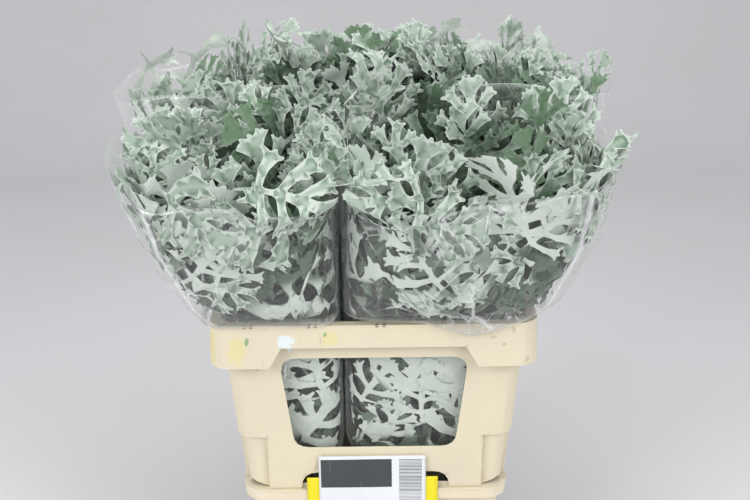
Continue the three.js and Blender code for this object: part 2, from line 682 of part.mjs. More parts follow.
/** A card on the front, flat and a little leant back. */
function makeCard({ half, low, high, off }) {
  const backAt = (z) => -BUCKET_RIM_HALF[1] - 0.4 - off + CARD_LEAN * (z - BUCKET_TOP);
  const [left, right] = [CARD_X - half, CARD_X + half];
  const corners = (thickness) =>
    [[left, low], [right, low], [right, high], [left, high]].map(([x, z]) => [x, backAt(z) - thickness, z]);
  const points = [...corners(CARD_THICKNESS), ...corners(0)];
  const faces = [[0, 1, 2, 3], [5, 4, 7, 6], [1, 5, 6, 2], [4, 0, 3, 7], [3, 2, 6, 7], [4, 5, 1, 0]];
  return solidOf(polyhedron(points, faces));
}

// ---------------------------------------------------------------- the object

const finish = (color, roughness, extra = {}) =>
  new THREE.MeshStandardMaterial({ color, roughness, metalness: 0, ...extra });

const CREAM = finish(0xe8dcbc, 0.5);
const FILM_CLEAR = finish(0xf2f6f6, 0.1, { transparent: true, opacity: 0.25 });
const SILVER_LEAF = finish(0xb9c8bd, 0.85);
const WATER = finish(0xbfd0cc, 0.05, { transparent: true, opacity: 0.5 });
const RUBBER = finish(0xb98b5a, 0.7);
const YELLOW_CARD = finish(0xf4e11e, 0.7);
const WHITE_CARD = finish(0xf0f2f5, 0.6);

const group = new THREE.Group();

function addNode(name, solid, material) {
  const mesh = new THREE.Mesh(geometryOf(solid), material);
  mesh.name = name;
  group.add(mesh);
}

const sleeves = BUNCHES.map(makeSleeve);
const foliage = makeFoliage(sleeves);

addNode("bucket", makeBucket(), CREAM);
addNode("collar", makeCollar(), CREAM);
addNode("water", makeWater(foliage.map((stem) => stem.points[0])), WATER);
addNode("card_yellow", makeCard(YELLOW_CARD_SIZE), YELLOW_CARD);
addNode("card_white", makeCard(WHITE_CARD_SIZE), WHITE_CARD);
BUNCHES.forEach((bunch, i) => {
  addNode(`sleeve_${bunch.name}`, sleeves[i], FILM_CLEAR);
  addNode(`tie_${bunch.name}`, makeTie(bunch), RUBBER);
});
foliage.forEach((stem) => addNode(stem.name, stem.node, SILVER_LEAF));

export default group;
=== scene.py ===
# %% [markdown]
# # Cut dusty miller in a flower container
#
# Four bunches of cut dusty miller stand in water in a two-part plastic container, each bunch in its own
# clear film sleeve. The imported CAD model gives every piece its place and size. This lesson gives them their
# looks: felted leaves with lobed edges, crinkled film, moulded plastic with some wear, two paper cards. The
# studio is measured in metres. Lengths of the object are millimetres, as in the CAD source, and become
# metres when a mesh is made.

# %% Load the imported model
import math
import random

import bmesh
import bpy
import numpy as np
from mathutils import Matrix, Vector
from mathutils.geometry import delaunay_2d_cdt


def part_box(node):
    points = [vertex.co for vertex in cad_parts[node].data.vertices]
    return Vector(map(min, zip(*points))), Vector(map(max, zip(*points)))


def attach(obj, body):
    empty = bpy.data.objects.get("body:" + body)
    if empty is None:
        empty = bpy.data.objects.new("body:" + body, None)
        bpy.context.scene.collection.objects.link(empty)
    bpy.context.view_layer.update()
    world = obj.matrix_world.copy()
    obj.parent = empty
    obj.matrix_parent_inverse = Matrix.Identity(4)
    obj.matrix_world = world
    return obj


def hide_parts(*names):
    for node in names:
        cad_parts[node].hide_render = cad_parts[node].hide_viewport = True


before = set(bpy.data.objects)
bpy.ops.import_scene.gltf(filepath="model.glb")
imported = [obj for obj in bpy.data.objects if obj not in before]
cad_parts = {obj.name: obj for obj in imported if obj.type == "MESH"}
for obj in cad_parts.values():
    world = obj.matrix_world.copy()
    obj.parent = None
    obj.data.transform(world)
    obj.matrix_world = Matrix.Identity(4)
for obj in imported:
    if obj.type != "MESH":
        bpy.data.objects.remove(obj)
bpy.context.view_layer.update()
MM = 0.001
scene = bpy.context.scene


# %% Helpers for meshes and objects
def add_object(name, data):
    """A new object of the scene."""
    obj = bpy.data.objects.new(name, data)
    scene.collection.objects.link(obj)
    return obj


def new_object(name, points, faces=(), edges=()):
    """A smooth mesh object from points in metres."""
    mesh = bpy.data.meshes.new(name)
    mesh.from_pydata([tuple(p) for p in points], edges, [tuple(f) for f in faces])
    mesh.update()
    mesh.shade_smooth()
    return add_object(name, mesh)


def grid_faces(rows, columns, rows_close=False, columns_close=False):
    """The quads of a grid of points, row by row; either direction may close round on itself."""
    index = np.arange(rows * columns).reshape(rows, columns)
    right = np.roll(index, -1, axis=1)
    faces = np.stack([index, right, np.roll(right, -1, axis=0), np.roll(index, -1, axis=0)], -1)
    faces = faces if rows_close else faces[:-1]
    faces = faces if columns_close else faces[:, :-1]
    return faces.reshape(-1, 4).tolist()


def write_attribute(mesh, label, values, kind="FLOAT"):
    """Stores a number or a vector for each point of a mesh."""
    key = "vector" if kind == "FLOAT_VECTOR" else "value"
    numbers = np.asarray(values, np.int32 if kind == "INT" else np.float32)
    mesh.attributes.new(label, kind, "POINT").data.foreach_set(key, numbers.reshape(-1))


def apply_modifiers(obj):
    """Turns the object as its modifiers make it into a plain mesh."""
    bpy.context.view_layer.update()
    graph = bpy.context.evaluated_depsgraph_get()
    mesh = bpy.data.meshes.new_from_object(obj.evaluated_get(graph))
    old = obj.data
    obj.modifiers.clear()
    obj.data = mesh
    mesh.name = obj.name
    if old.users == 0:
        bpy.data.meshes.remove(old)
    return obj


def thicken(obj, thickness, offset):
    """Makes a closed solid from a sheet, which grows to its front with offset 1 and to its back with -1."""
    wall = obj.modifiers.new("thickness", "SOLIDIFY")
    wall.thickness = thickness * MM
    wall.offset = offset
    return apply_modifiers(obj)


def finish_piece(obj, replaced=None, material=None):
    """What a finished piece needs: its body, the CAD node that it stands for, and a material."""
    if material:
        obj.data.materials.clear()
        obj.data.materials.append(material)
    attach(obj, "root")
    if replaced:
        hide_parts(replaced)
    return obj


def triangles(obj):
    """How many triangles an object has."""
    obj.data.calc_loop_triangles()
    return len(obj.data.loop_triangles)


# %% [markdown]
# ## Camera, floor and light
#
# The camera comes first, because everything else is judged through it. It stands 1.35 m in front of the
# container's middle and looks down 19 degrees. The floor runs back and curves up into a wall, as in a photo
# studio, so that there is no horizon line. Large area lights make soft shadows, and two narrow ones give
# the film something bright to mirror.

# %% Camera
FRAME_WIDTH = 750  # pixels
FOCAL_LENGTH = 1060  # pixels
SENSOR_WIDTH = 36.0
CAMERA_PLACE = (0.00307, -1.3496, 0.96105)
LOOK_DOWN = 19  # degrees
CAMERA_ROLL = -0.7

camera_data = bpy.data.cameras.new("camera")
camera_data.sensor_fit = "HORIZONTAL"
camera_data.sensor_width = SENSOR_WIDTH
camera_data.lens = SENSOR_WIDTH * FOCAL_LENGTH / FRAME_WIDTH
camera = add_object("camera", camera_data)
camera.location = CAMERA_PLACE
tilt = Matrix.Rotation(math.radians(90 - LOOK_DOWN), 3, "X")
roll = Matrix.Rotation(math.radians(CAMERA_ROLL), 3, "Z")
camera.rotation_euler = (tilt @ roll).to_euler()
scene.camera = camera
print("lens", round(camera_data.lens, 1), "mm")


# %% Floor and backdrop
def make_studio(half_width=6.0, front=-4.0, bend_start=2.2, radius=1.2, top=3.6, steps=24):
    """One sheet: floor, quarter-circle bend and wall."""
    profile = [(front, 0.0), (bend_start, 0.0)]
    for i in range(1, steps + 1):
        angle = i / steps * math.pi / 2
        profile.append((bend_start + radius * math.sin(angle), radius * (1 - math.cos(angle))))
    profile.append((bend_start + radius, top))
    points = [(side * half_width, y, z) for y, z in profile for side in (-1, 1)]
    faces = [(2 * i, 2 * i + 1, 2 * i + 3, 2 * i + 2) for i in range(len(profile) - 1)]
    return new_object("studio_floor", points, faces)


studio = make_studio()

# %% Lights
LIGHT_TARGET = (0.0, 0.0, 0.5)
LIGHTS = [  # name, place, width and height, power
    ("soft_top", (0.0, -0.3, 2.9), (2.4, 2.0), 34),
    ("soft_front_left", (-2.0, -2.3, 1.9), (1.4, 1.4), 32),
    ("soft_front_right", (2.1, -2.0, 1.6), (1.3, 1.3), 24),
    ("strip_left", (-1.5, -1.2, 1.2), (0.12, 1.2), 6),
    ("strip_right", (1.3, -1.5, 1.9), (0.10, 1.1), 6),
]
AIR_COLOR = (0.80, 0.80, 0.83, 1)
AIR_STRENGTH = 0.55

for name, place, size, power in LIGHTS:
    data = bpy.data.lights.new(name, "AREA")
    data.shape = "RECTANGLE"
    data.size, data.size_y = size
    data.energy = power
    light = add_object(name, data)
    light.location = place
    light.rotation_euler = (Vector(LIGHT_TARGET) - Vector(place)).to_track_quat("-Z", "Y").to_euler()

world = bpy.data.worlds.new("studio_air")
scene.world = world
world.use_nodes = True
world.node_tree.nodes["Background"].inputs["Color"].default_value = AIR_COLOR
world.node_tree.nodes["Background"].inputs["Strength"].default_value = AIR_STRENGTH
scene.view_settings.view_transform = "Standard"
scene.view_settings.look = "None"
print("lights:", len(LIGHTS))

# %% [markdown]
# ## The space that each bunch fills
#
# The four sleeves share the container. Each bunch fills a cell with a squarish section that follows the
# container's wall up to the rim and flares out over it. The tables and most of the rules are the CAD
# source's own, so the fine pieces land where the plain solids are. All points are handled at once as numpy
# arrays.

# %% Cell tables
RIM_TOP = 452  # of the container
CELL_Z = [150, 262, RIM_TOP, 461, 482, 560, 700]
FRONT_Y = [0, 114, 129, 160, 180, 202, 226]
BACK_Y = [0, 114, 129, 158, 178, 204, 236]
SEAM_Y = 5
SEAM_HALF_GAP = 1.2
SQUARENESS = [2, 5, 5, 4.4, 3.6, 3.1, 2.8]
FOOT_RADIUS = 27
MOUTH_Z = 600.0  # a height near the sleeve's open end

BUNCHES = {
    "front_left": dict(side=(-1, -1), seam_x=-40, foot=(-98, -54), out_y=FRONT_Y,
                       out_x=[0, 165, 182, 208, 238, 280, 322]),
    "front_right": dict(side=(1, -1), seam_x=-40, foot=(58, -54), out_y=FRONT_Y,
                        out_x=[0, 165, 182, 208, 236, 274, 296]),
    "back_left": dict(side=(-1, 1), seam_x=16, foot=(-74, 60), out_y=BACK_Y,
                      out_x=[0, 165, 182, 209, 243, 296, 350]),
    "back_right": dict(side=(1, 1), seam_x=16, foot=(88, 60), out_y=BACK_Y,
                       out_x=[0, 165, 182, 209, 241, 290, 326]),
}


# %% Cell rules
def rise(value, start, span):
    """0 up to start, 1 from start + span on, straight between."""
    return np.clip((value - start) / span, 0, 1)


def at_height(table, z):
    """Values of a table over CELL_Z at heights z, straight between its rows and past its ends."""
    z = np.asarray(z, float)
    i = np.clip(np.searchsorted(CELL_Z, z, side="left") - 1, 0, len(CELL_Z) - 2)
    low, high = np.take(CELL_Z, i), np.take(CELL_Z, i + 1)
    return np.take(table, i) + (np.take(table, i + 1) - np.take(table, i)) * (z - low) / (high - low)


def section_at(bunch, z):
    """Middle, half sizes and squareness of the cell at heights z."""
    z = np.asarray(z, float)
    side_x, side_y = bunch["side"]
    seam_x, seam_y = bunch["seam_x"] + side_x * SEAM_HALF_GAP, SEAM_Y + side_y * SEAM_HALF_GAP
    full = np.maximum(z, CELL_Z[1])
    out_x, out_y = side_x * at_height(bunch["out_x"], full), side_y * at_height(bunch["out_y"], full)
    t = rise(z, CELL_Z[0], CELL_Z[1] - CELL_Z[0])

    def from_foot(foot, cell):
        return foot + (cell - foot) * t

    return dict(
        cx=from_foot(bunch["foot"][0], (seam_x + out_x) / 2),
        cy=from_foot(bunch["foot"][1], (seam_y + out_y) / 2),
        hx=from_foot(FOOT_RADIUS, np.abs(out_x - seam_x) / 2),
        hy=from_foot(FOOT_RADIUS, np.abs(out_y - seam_y) / 2),
        n=np.maximum(2, at_height(SQUARENESS, np.minimum(z, CELL_Z[-1]))),
    )


def squared(wave, squareness):
    """A cosine or a sine, changed so that the two draw a squarish ring; with squareness 2 it is a circle."""
    return np.sign(wave) * np.abs(wave) ** (2 / squareness)


def on_film(s, cosine, sine, z):
    """Points on the film of sections s, from the cosines and sines of their directions and their heights."""
    u, v = squared(cosine, s["n"]), squared(sine, s["n"])
    return np.stack([s["cx"] + s["hx"] * u, s["cy"] + s["hy"] * v, z + 0 * u], -1)


def reach_of(s, x, y):
    """How far out points lie in their sections: 1 is on the film."""
    u, v = np.abs(x - s["cx"]) / s["hx"], np.abs(y - s["cy"]) / s["hy"]
    return (u ** s["n"] + v ** s["n"]) ** (1 / s["n"])


# the film's cut edge: its height, and how much lower it is outwards and sideways
FRONT_EDGE = (690, 66, 22)
BACK_EDGE = (712, -14, 12)
SEAM_DIP = 45  # how far the edge hangs down in front, where two bunches meet
SPILL = (0.13, 0.45)  # how far leaves spread over the edge, outwards and towards the other bunches
SPILL_HEIGHT = 90  # over this height above the edge they could spread by half a cell


def film_top(bunch, dx, dy):
    """Height of the film's cut edge in the direction (dx, dy)."""
    length = np.maximum(np.hypot(dx, dy), 1e-9)
    outward = np.maximum(0, dy / length * bunch["side"][1])
    sideways = np.maximum(0, dx / length * bunch["side"][0])
    in_front = bunch["side"][1] < 0
    top, fall_outward, fall_sideways = FRONT_EDGE if in_front else BACK_EDGE
    height = top - fall_outward * outward - fall_sideways * sideways
    if in_front:
        corner = 2 * outward * np.maximum(0, -dx / length * bunch["side"][0])
        height = height - SEAM_DIP * corner
    return height


def film_limit(bunch, p, margin):
    """The reach at which points p (N x 3) are margin inside the film, and their reach and sections."""
    s = section_at(bunch, p[:, 2])
    dx, dy = p[:, 0] - s["cx"], p[:, 1] - s["cy"]
    above = np.maximum(0, p[:, 2] - film_top(bunch, dx, dy))
    inwards = np.maximum(-dx / s["hx"] * bunch["side"][0], -dy / s["hy"] * bunch["side"][1])
    spill = SPILL[0] + (SPILL[1] - SPILL[0]) * np.clip(1.6 * inwards - 0.6, 0, 1)
    limit = 1 - margin / np.minimum(s["hx"], s["hy"]) + np.minimum(above / SPILL_HEIGHT, spill)
    return limit, reach_of(s, p[:, 0], p[:, 1]), s


def keep_inside(bunch, p, margin, softness=0.0):
    """Pulls points inside the film, and tells how near it they were; softness slows them down before it."""
    limit, reach, s = film_limit(bunch, p, margin)
    start = limit - softness
    if softness:
        pulled = start + softness * np.tanh((reach - start) / softness)
    else:
        pulled = limit
    k = np.where(reach > start, pulled / np.maximum(reach, 1e-9), 1.0)
    q = p.copy()
    q[:, 0] = s["cx"] + (p[:, 0] - s["cx"]) * k
    q[:, 1] = s["cy"] + (p[:, 1] - s["cy"]) * k
    return q, np.minimum(1, reach / limit)


def outward_at(bunch, p, step=2.0):
    """The film's outward direction near points p."""
    grad = np.zeros_like(p)
    for axis in range(3):
        shift = np.zeros(3)
        shift[axis] = step
        for sign in (1, -1):
            q = p + sign * shift
            grad[:, axis] += sign * reach_of(section_at(bunch, q[:, 2]), q[:, 0], q[:, 1])
    return unit(grad)


def unit(v):
    """Vectors of length 1."""
    return v / np.maximum(np.linalg.norm(v, axis=-1, keepdims=True), 1e-9)


DOME_MIDDLE = (15, 70)
DOME_TOP = 792
# towards the sides, the front and the back: how much lower the dome is at a distance, and the curve's power
DOME_SIDE, DOME_FRONT, DOME_BACK = (92, 340, 2.2), (150, 310, 1.35), (70, 190, 2)


def dome_height(x, y):
    """Height of the top of the foliage over a place."""
    height = DOME_TOP
    past_x, past_y = np.abs(x - DOME_MIDDLE[0]), y - DOME_MIDDLE[1]
    for past, (fall, distance, power) in ((past_x, DOME_SIDE), (-past_y, DOME_FRONT), (past_y, DOME_BACK)):
        height = height - fall * np.maximum(0, past / distance) ** power
    return height


mouth = {name: section_at(b, MOUTH_Z) for name, b in BUNCHES.items()}
print("cell widths near the mouth:", {n: round(float(2 * s["hx"])) for n, s in mouth.items()})

# %% [markdown]
# ## Leaf shapes
#
# A dusty miller leaf is cut almost to its midrib into strap-like lobes, with round hollows between them and
# two or three blunt teeth on each lobe's end. One way is to paint such a shape with transparency on a card,
# but then the leaf has no edge to catch light. Here each shape is a real outline. Its midrib, lobes and
# teeth are tapered strokes that are melted into one form, as drops of water run together. The form's edge
# is traced on a grid, thinned to the corners that count, filled with triangles, and closed underneath as a
# thin pillow. Five tables, each used twice, give ten shapes. That is enough, because every leaf is bent and
# turned in its own way later. Attributes on the points tell the material where the margin, the veins and
# the underside are.

# %% Strokes of one leaf, in leaf lengths
TOOTH_CHANCE = 0.94
SIDE_TOOTH_CHANCE = 0.7
SIDE_TOOTH_REACH = 0.26  # shorter lobes have no tooth on their side
LOBE_STAGGER = 0.014  # two lobes that face each other don't start at quite the same place
RIB_ROOT = 0.012  # half width of the bare midrib at the leaf's foot

# lobes: where each starts on the midrib, its reach, sweep in degrees, half width and the size of its teeth
# rib: places on the midrib and the half width of the blade there
LEAF_SHAPES = [
    dict(lobes=[(0.22, 0.34, 72, 0.046, 0.060), (0.41, 0.42, 59, 0.054, 0.072),
                (0.60, 0.33, 47, 0.051, 0.062), (0.78, 0.19, 35, 0.036, 0.040)],
         rib=[(0.25, 0.020), (0.45, 0.034), (0.62, 0.048), (0.80, 0.052), (0.90, 0.042)]),
    dict(lobes=[(0.27, 0.41, 67, 0.058, 0.078), (0.49, 0.39, 53, 0.060, 0.074),
                (0.71, 0.24, 39, 0.046, 0.050)],
         rib=[(0.30, 0.024), (0.50, 0.044), (0.70, 0.062), (0.87, 0.050)]),
    dict(lobes=[(0.19, 0.20, 84, 0.026, 0.034), (0.33, 0.36, 71, 0.034, 0.054),
                (0.49, 0.38, 59, 0.037, 0.058), (0.65, 0.30, 47, 0.034, 0.050),
                (0.80, 0.17, 36, 0.027, 0.032)],
         rib=[(0.24, 0.016), (0.46, 0.026), (0.66, 0.036), (0.82, 0.040), (0.91, 0.032)]),
    dict(lobes=[(0.28, 0.31, 72, 0.036, 0.056), (0.46, 0.37, 59, 0.039, 0.062),
                (0.64, 0.30, 46, 0.036, 0.054), (0.80, 0.17, 34, 0.028, 0.034)],
         rib=[(0.34, 0.020), (0.52, 0.034), (0.68, 0.044), (0.82, 0.044), (0.91, 0.034)]),
    dict(lobes=[(0.31, 0.27, 68, 0.034, 0.054), (0.49, 0.31, 56, 0.037, 0.060),
                (0.67, 0.23, 44, 0.033, 0.050)],
         rib=[(0.38, 0.020), (0.54, 0.032), (0.72, 0.042), (0.89, 0.036)]),
]


def leaf_strokes(shape, seed):
    """A leaf as tapered strokes: start, end, and the half width at each."""
    rng = random.Random(seed)
    strokes = []

    def some(share):
        return 1 + share * rng.uniform(-1, 1)

    def stroke(start, heading, length, wide, narrow):
        end = start + length * np.array([math.cos(heading), math.sin(heading)])
        strokes.append((start, end, wide, narrow))
        return end

    def teeth(end, heading, size, wide):
        """The blunt teeth on the end of a lobe."""
        onward = heading + 0.1 * rng.uniform(-1, 1)
        stroke(end, onward, 1.25 * size * some(0.2), 0.86 * wide, 0.34 * wide)
        for turn in (-1, 1):
            if rng.random() < TOOTH_CHANCE:
                aside = heading + turn * rng.uniform(0.78, 1.0)
                stroke(end, aside, 1.7 * size * some(0.18), 0.60 * wide, 0.30 * wide)

    rib = [(0.0, RIB_ROOT), (shape["lobes"][0][0] - 0.08, RIB_ROOT)] + shape["rib"]
    for (a, wide), (b, narrow) in zip(rib, rib[1:]):
        strokes.append((np.array([a, 0.0]), np.array([b, 0.0]), wide, narrow))
    teeth(np.array([shape["rib"][-1][0], 0.0]), 0.0, 0.06, shape["rib"][-1][1])
    for side in (1, -1):
        for at, reach, sweep, wide, size in shape["lobes"]:
            root = np.array([at + side * LOBE_STAGGER * some(0.8), 0.0])
            heading = math.radians(sweep + 3 * rng.uniform(-1, 1))
            reach = reach * some(0.09)
            elbow = stroke(root, side * (heading + 0.08), 0.50 * reach, 0.62 * wide, 0.78 * wide)
            end = stroke(elbow, side * (heading - 0.10), 0.34 * reach, 0.78 * wide, 1.12 * wide)
            teeth(end, side * (heading - 0.10), size, wide)
            if reach > SIDE_TOOTH_REACH and rng.random() < SIDE_TOOTH_CHANCE:
                aside = side * (heading + rng.choice((-0.85, 0.9)))
                stroke(elbow, aside, 0.27 * reach, 0.55 * wide, 0.28 * wide)
    return strokes


# %% Outline of one leaf
SOFTNESS = 0.008  # how round the hollows between the lobes are
GRID_STEP = 0.0085
GRID_X, GRID_Y = np.arange(-0.03, 1.06, GRID_STEP), np.arange(-0.5, 0.5, GRID_STEP)
LEAF_TRIES = 60  # with new random numbers, until no two lobes touch
MARGIN = 0.0105  # width of the thin edge
OUTLINE_CORNERS = 164
MARGIN_CORNERS = 70


def leaf_field(points, strokes):
    """How far points lie outside the leaf (negative inside): all strokes melted into one form."""
    total = np.zeros(len(points))
    for start, end, wide, narrow in strokes:
        d = end - start
        t = np.clip((points - start) @ d / max(d @ d, 1e-12), 0, 1)
        away = np.hypot(*(points - start - t[:, None] * d).T) - (wide + (narrow - wide) * t)
        total += np.exp(np.clip(-away / SOFTNESS, -60, 60))
    return -SOFTNESS * np.log(total)


def contours(field, level):
    """Closed lines along which a field on the grid has a value, longest first."""
    low = field < level
    mixed = (low[:-1, :-1].astype(int) + low[1:, :-1] + low[1:, 1:] + low[:-1, 1:]) % 4 != 0
    links = {}
    for i, j in np.argwhere(mixed):
        corners = (low[i, j], low[i + 1, j], low[i + 1, j + 1], low[i, j + 1])
        edges = (("h", i, j), ("v", i + 1, j), ("h", i, j + 1), ("v", i, j))
        cut = [edges[k] for k in range(4) if corners[k] != corners[(k + 1) % 4]]
        for a, b in zip(cut[::2], cut[1::2]):
            links.setdefault(a, []).append(b)
            links.setdefault(b, []).append(a)
    lines = []
    while links:
        here = next(iter(links))
        line = []
        while here in links:
            line.append(here)
            onward = [e for e in links.pop(here) if e in links]
            here = onward[0] if onward else None
        lines.append(line)

    def place(edge):
        kind, i, j = edge
        i2, j2 = (i + 1, j) if kind == "h" else (i, j + 1)
        t = (level - field[i, j]) / (field[i2, j2] - field[i, j])
        return GRID_X[i] + t * (GRID_X[i2] - GRID_X[i]), GRID_Y[j] + t * (GRID_Y[j2] - GRID_Y[j])

    return [np.array([place(e) for e in line]) for line in sorted(lines, key=len, reverse=True)]


def simplify(line, count):
    """Takes the flattest corners out of a closed line until count are left."""
    pts = [np.array(p) for p in line]

    def area(k):
        return abs(np.cross(pts[k] - pts[k - 1], pts[(k + 1) % len(pts)] - pts[k - 1]))

    areas = [area(k) for k in range(len(pts))]
    while len(pts) > count:
        k = int(np.argmin(areas))
        pts.pop(k)
        areas.pop(k)
        for m in (k - 1, k % len(pts)):
            areas[m] = area(m)
    return np.array(pts)


def cut_leaf(shape, seed):
    """A leaf's strokes, its outline and the inner line of its margin."""
    grid = np.stack(np.meshgrid(GRID_X, GRID_Y, indexing="ij"), -1)
    for attempt in range(LEAF_TRIES):
        strokes = leaf_strokes(shape, seed + 100 * attempt)
        field = leaf_field(grid.reshape(-1, 2), strokes).reshape(grid.shape[:2])
        lines = contours(field, 0.0)
        if len(lines) == 1:
            break
    margin_line = contours(field, -MARGIN)[0]
    return strokes, simplify(lines[0], OUTLINE_CORNERS), simplify(margin_line, MARGIN_CORNERS)


# %% Filled leaf mesh
LEAF_THICKNESS = 0.006
THIN_DEPTH = 0.4  # the least share of the thickness, away from the edge itself
VEIN_HALF_WIDTH = 0.014
VEIN_POINT_GAP = 0.075
FIRST_LEAF_SEED = 40


def segments_distance(points, starts, ends):
    """Shortest distance of each point to a set of segments."""
    d = ends - starts
    length2 = np.maximum((d ** 2).sum(1), 1e-12)
    rel = points[:, None, :] - starts[None]
    t = np.clip((rel * d[None]).sum(2) / length2[None], 0, 1)
    return np.sqrt(((rel - t[..., None] * d[None]) ** 2).sum(2)).min(1)


def vein_points(strokes):
    """Points along the strokes, well inside the leaf and not too close together."""
    along = [s[0] + t * (s[1] - s[0]) for s in strokes for t in (0.25, 0.6, 0.95)]
    along = np.array(along)
    kept = []
    for p in along[leaf_field(along, strokes) < -1.5 * MARGIN]:
        if all(np.abs(p - q).sum() > VEIN_POINT_GAP for q in kept):
            kept.append(p)
    return np.array(kept)


def fill_outline(outline, inside):
    """Fills an outline with triangles: the points, the faces, and which of the points are on the edge."""
    corners = [Vector(p) for p in np.concatenate([outline, inside])]
    verts, _, faces, *_ = delaunay_2d_cdt(corners, [], [list(range(len(outline)))], 1, 1e-7)
    flat = np.array([[v.x, v.y] for v in verts])
    turn = sum(np.cross(flat[f[1]] - flat[f[0]], flat[f[2]] - flat[f[0]]) for f in faces)
    faces = [tuple(f) if turn > 0 else tuple(f[::-1]) for f in faces]
    edge = segments_distance(flat, outline, np.roll(outline, -1, 0)) < 1e-5
    # a triangle with all its corners on the edge would have no thickness, so it gets a point in its middle
    split, middles = [], []
    for face in faces:
        if edge[list(face)].all():
            middle = len(flat) + len(middles)
            middles.append(flat[list(face)].mean(0))
            split += [(a, b, middle) for a, b in zip(face, face[1:] + face[:1])]
        else:
            split.append(face)
    flat = np.concatenate([flat, np.array(middles).reshape(-1, 2)])
    return flat, split, np.concatenate([edge, np.zeros(len(middles), bool)])


def make_leaf_shape(number):
    """One flat unit leaf: closed, with its margin, vein and underside as point attributes."""
    strokes, outline, margin_line = cut_leaf(LEAF_SHAPES[number // 2], FIRST_LEAF_SEED + number)
    flat, faces, edge = fill_outline(outline, np.concatenate([margin_line, vein_points(strokes)]))
    starts, ends = (np.array([s[k] for s in strokes]) for k in (0, 1))
    depth = np.maximum(np.clip(-leaf_field(flat, strokes) / MARGIN, 0, 1), THIN_DEPTH) * ~edge
    vein = np.clip(1 - segments_distance(flat, starts, ends) / VEIN_HALF_WIDTH, 0, 1) * depth
    half = LEAF_THICKNESS / 2
    top = np.column_stack([flat, half * depth * (1 - 0.5 * vein)])
    under = np.column_stack([flat, -half * depth * (1 + 0.8 * vein)])[~edge]
    twin = np.arange(len(flat))  # the point on the underside for each point on top; the edge belongs to both
    twin[~edge] = len(flat) + np.arange((~edge).sum())
    backs = [tuple(int(twin[k]) for k in f[::-1]) for f in faces]
    obj = new_object(f"leaf_shape_{number:02d}", np.concatenate([top, under]), faces + backs)
    write_attribute(obj.data, "margin", np.concatenate([depth, depth[~edge]]))
    write_attribute(obj.data, "vein", np.concatenate([vein, vein[~edge]]))
    write_attribute(obj.data, "under", np.concatenate([np.where(edge, 0.5, 0.0), np.ones((~edge).sum())]))
    return obj


leaf_shapes = bpy.data.collections.new("leaf shapes")
for number in range(2 * len(LEAF_SHAPES)):
    leaf = make_leaf_shape(number)
    scene.collection.objects.unlink(leaf)
    leaf_shapes.objects.link(leaf)
    print(leaf.name, triangles(leaf), "triangles")

# %% [markdown]
# ## Leafy stems
#
# A stem stands upright through the tied bunch, fans out above it to its tip, and carries a few side shoots.
# Its leaves grow in tufts round the tips and loosely below them. More leaves lie pressed flat against the
# film with their undersides out. So each midrib is walked step by step: it grows straight on, curls a
# little, turns down where it would stand out of the dome, and slides along the film where it touches it.
# The walk gives a row of small frames (a place, a sideways direction and an upward one) for each leaf.

# %% Stem centrelines
TIP_PLACES = [(0.78, 0.5), (0.1, 0.76), (-0.64, 0.5), (-0.6, -0.45), (0.06, -0.2), (0.76, -0.46)]
TIP_DEPTH = (66, 14)  # how far a stem ends under the dome, and how much that varies
SKIPPED_NUMBERS = 2  # the CAD source throws the first ones away
STEM_FOOT_Z = 6
BUNCH_RING = 12.5  # the stems stand in a ring of this radius
STEM_RADIUS = 3.8
STEM_TAPER = [1, 1, 1, 0.85, 0.75, 0.45]
STEM_CLEARANCE = 9  # between a centreline and the film
SHOOTS = 3
SHOOT_START = (110, 190)  # down from the stem's tip
SHOOT_DEPTH = (72, 104)  # of a shoot's tip under the dome
SHOOT_SPREAD = 0.30  # from the stem's tip to a shoot's, in halves of the cell
SHOOT_CLEARANCE = 15
SHOOT_BULGE = np.array([0.14, 0.14, 0])
SHOOT_TAPER = [0.6, 0.55, 0.4]
NECK_Z = 462  # shoots start above the container's rim


def numbers_from(seed):
    """The CAD source's own repeatable numbers, so that tips end at the same heights."""
    state = seed
    while True:
        state = state * 16807 % 2147483647
        yield state / 2147483647


def lean_of(bunch, index):
    """The direction, seen from above, in which a stem leans out of its bunch."""
    out_x, out_y = TIP_PLACES[index]
    return math.atan2(out_y * bunch["side"][1], out_x * bunch["side"][0])


def stem_points(bunch, index, seed):
    """The centreline of one stem, from its foot to its tip."""
    numbers = numbers_from(seed)
    for _ in range(SKIPPED_NUMBERS):
        next(numbers)
    out_x, out_y = TIP_PLACES[index]

    def at(z, share):
        s = section_at(bunch, float(z))
        x = s["cx"] + s["hx"] * share * out_x * bunch["side"][0]
        y = s["cy"] + s["hy"] * share * out_y * bunch["side"][1]
        return np.array([x, y, z])

    lean = lean_of(bunch, index)
    x, y = bunch["foot"][0] + BUNCH_RING * math.cos(lean), bunch["foot"][1] + BUNCH_RING * math.sin(lean)
    rough = at(690, 1)
    tip_z = dome_height(rough[0], rough[1]) - TIP_DEPTH[0] - TIP_DEPTH[1] * next(numbers)
    upright = [[x, y, STEM_FOOT_Z], [x, y, CELL_Z[0]]]
    return np.array(upright + [at(262, 0.8), at(440, 0.95), at(520, 1), at(tip_z, 1)])


def on_line(points, z):
    """The places on a centreline at heights z."""
    return np.stack([np.interp(z, points[:, 2], points[:, k]) for k in range(3)], -1)


def dense_line(bunch, line, lowest, step):
    """Heights and points along a centreline, kept clear of the film."""
    spaced = np.arange(max(line[0, 2], lowest), line[-1, 2], step)
    heights = np.unique(np.concatenate([line[line[:, 2] > lowest, 2], spaced]))
    return heights, keep_inside(bunch, on_line(line, heights), STEM_CLEARANCE)[0]


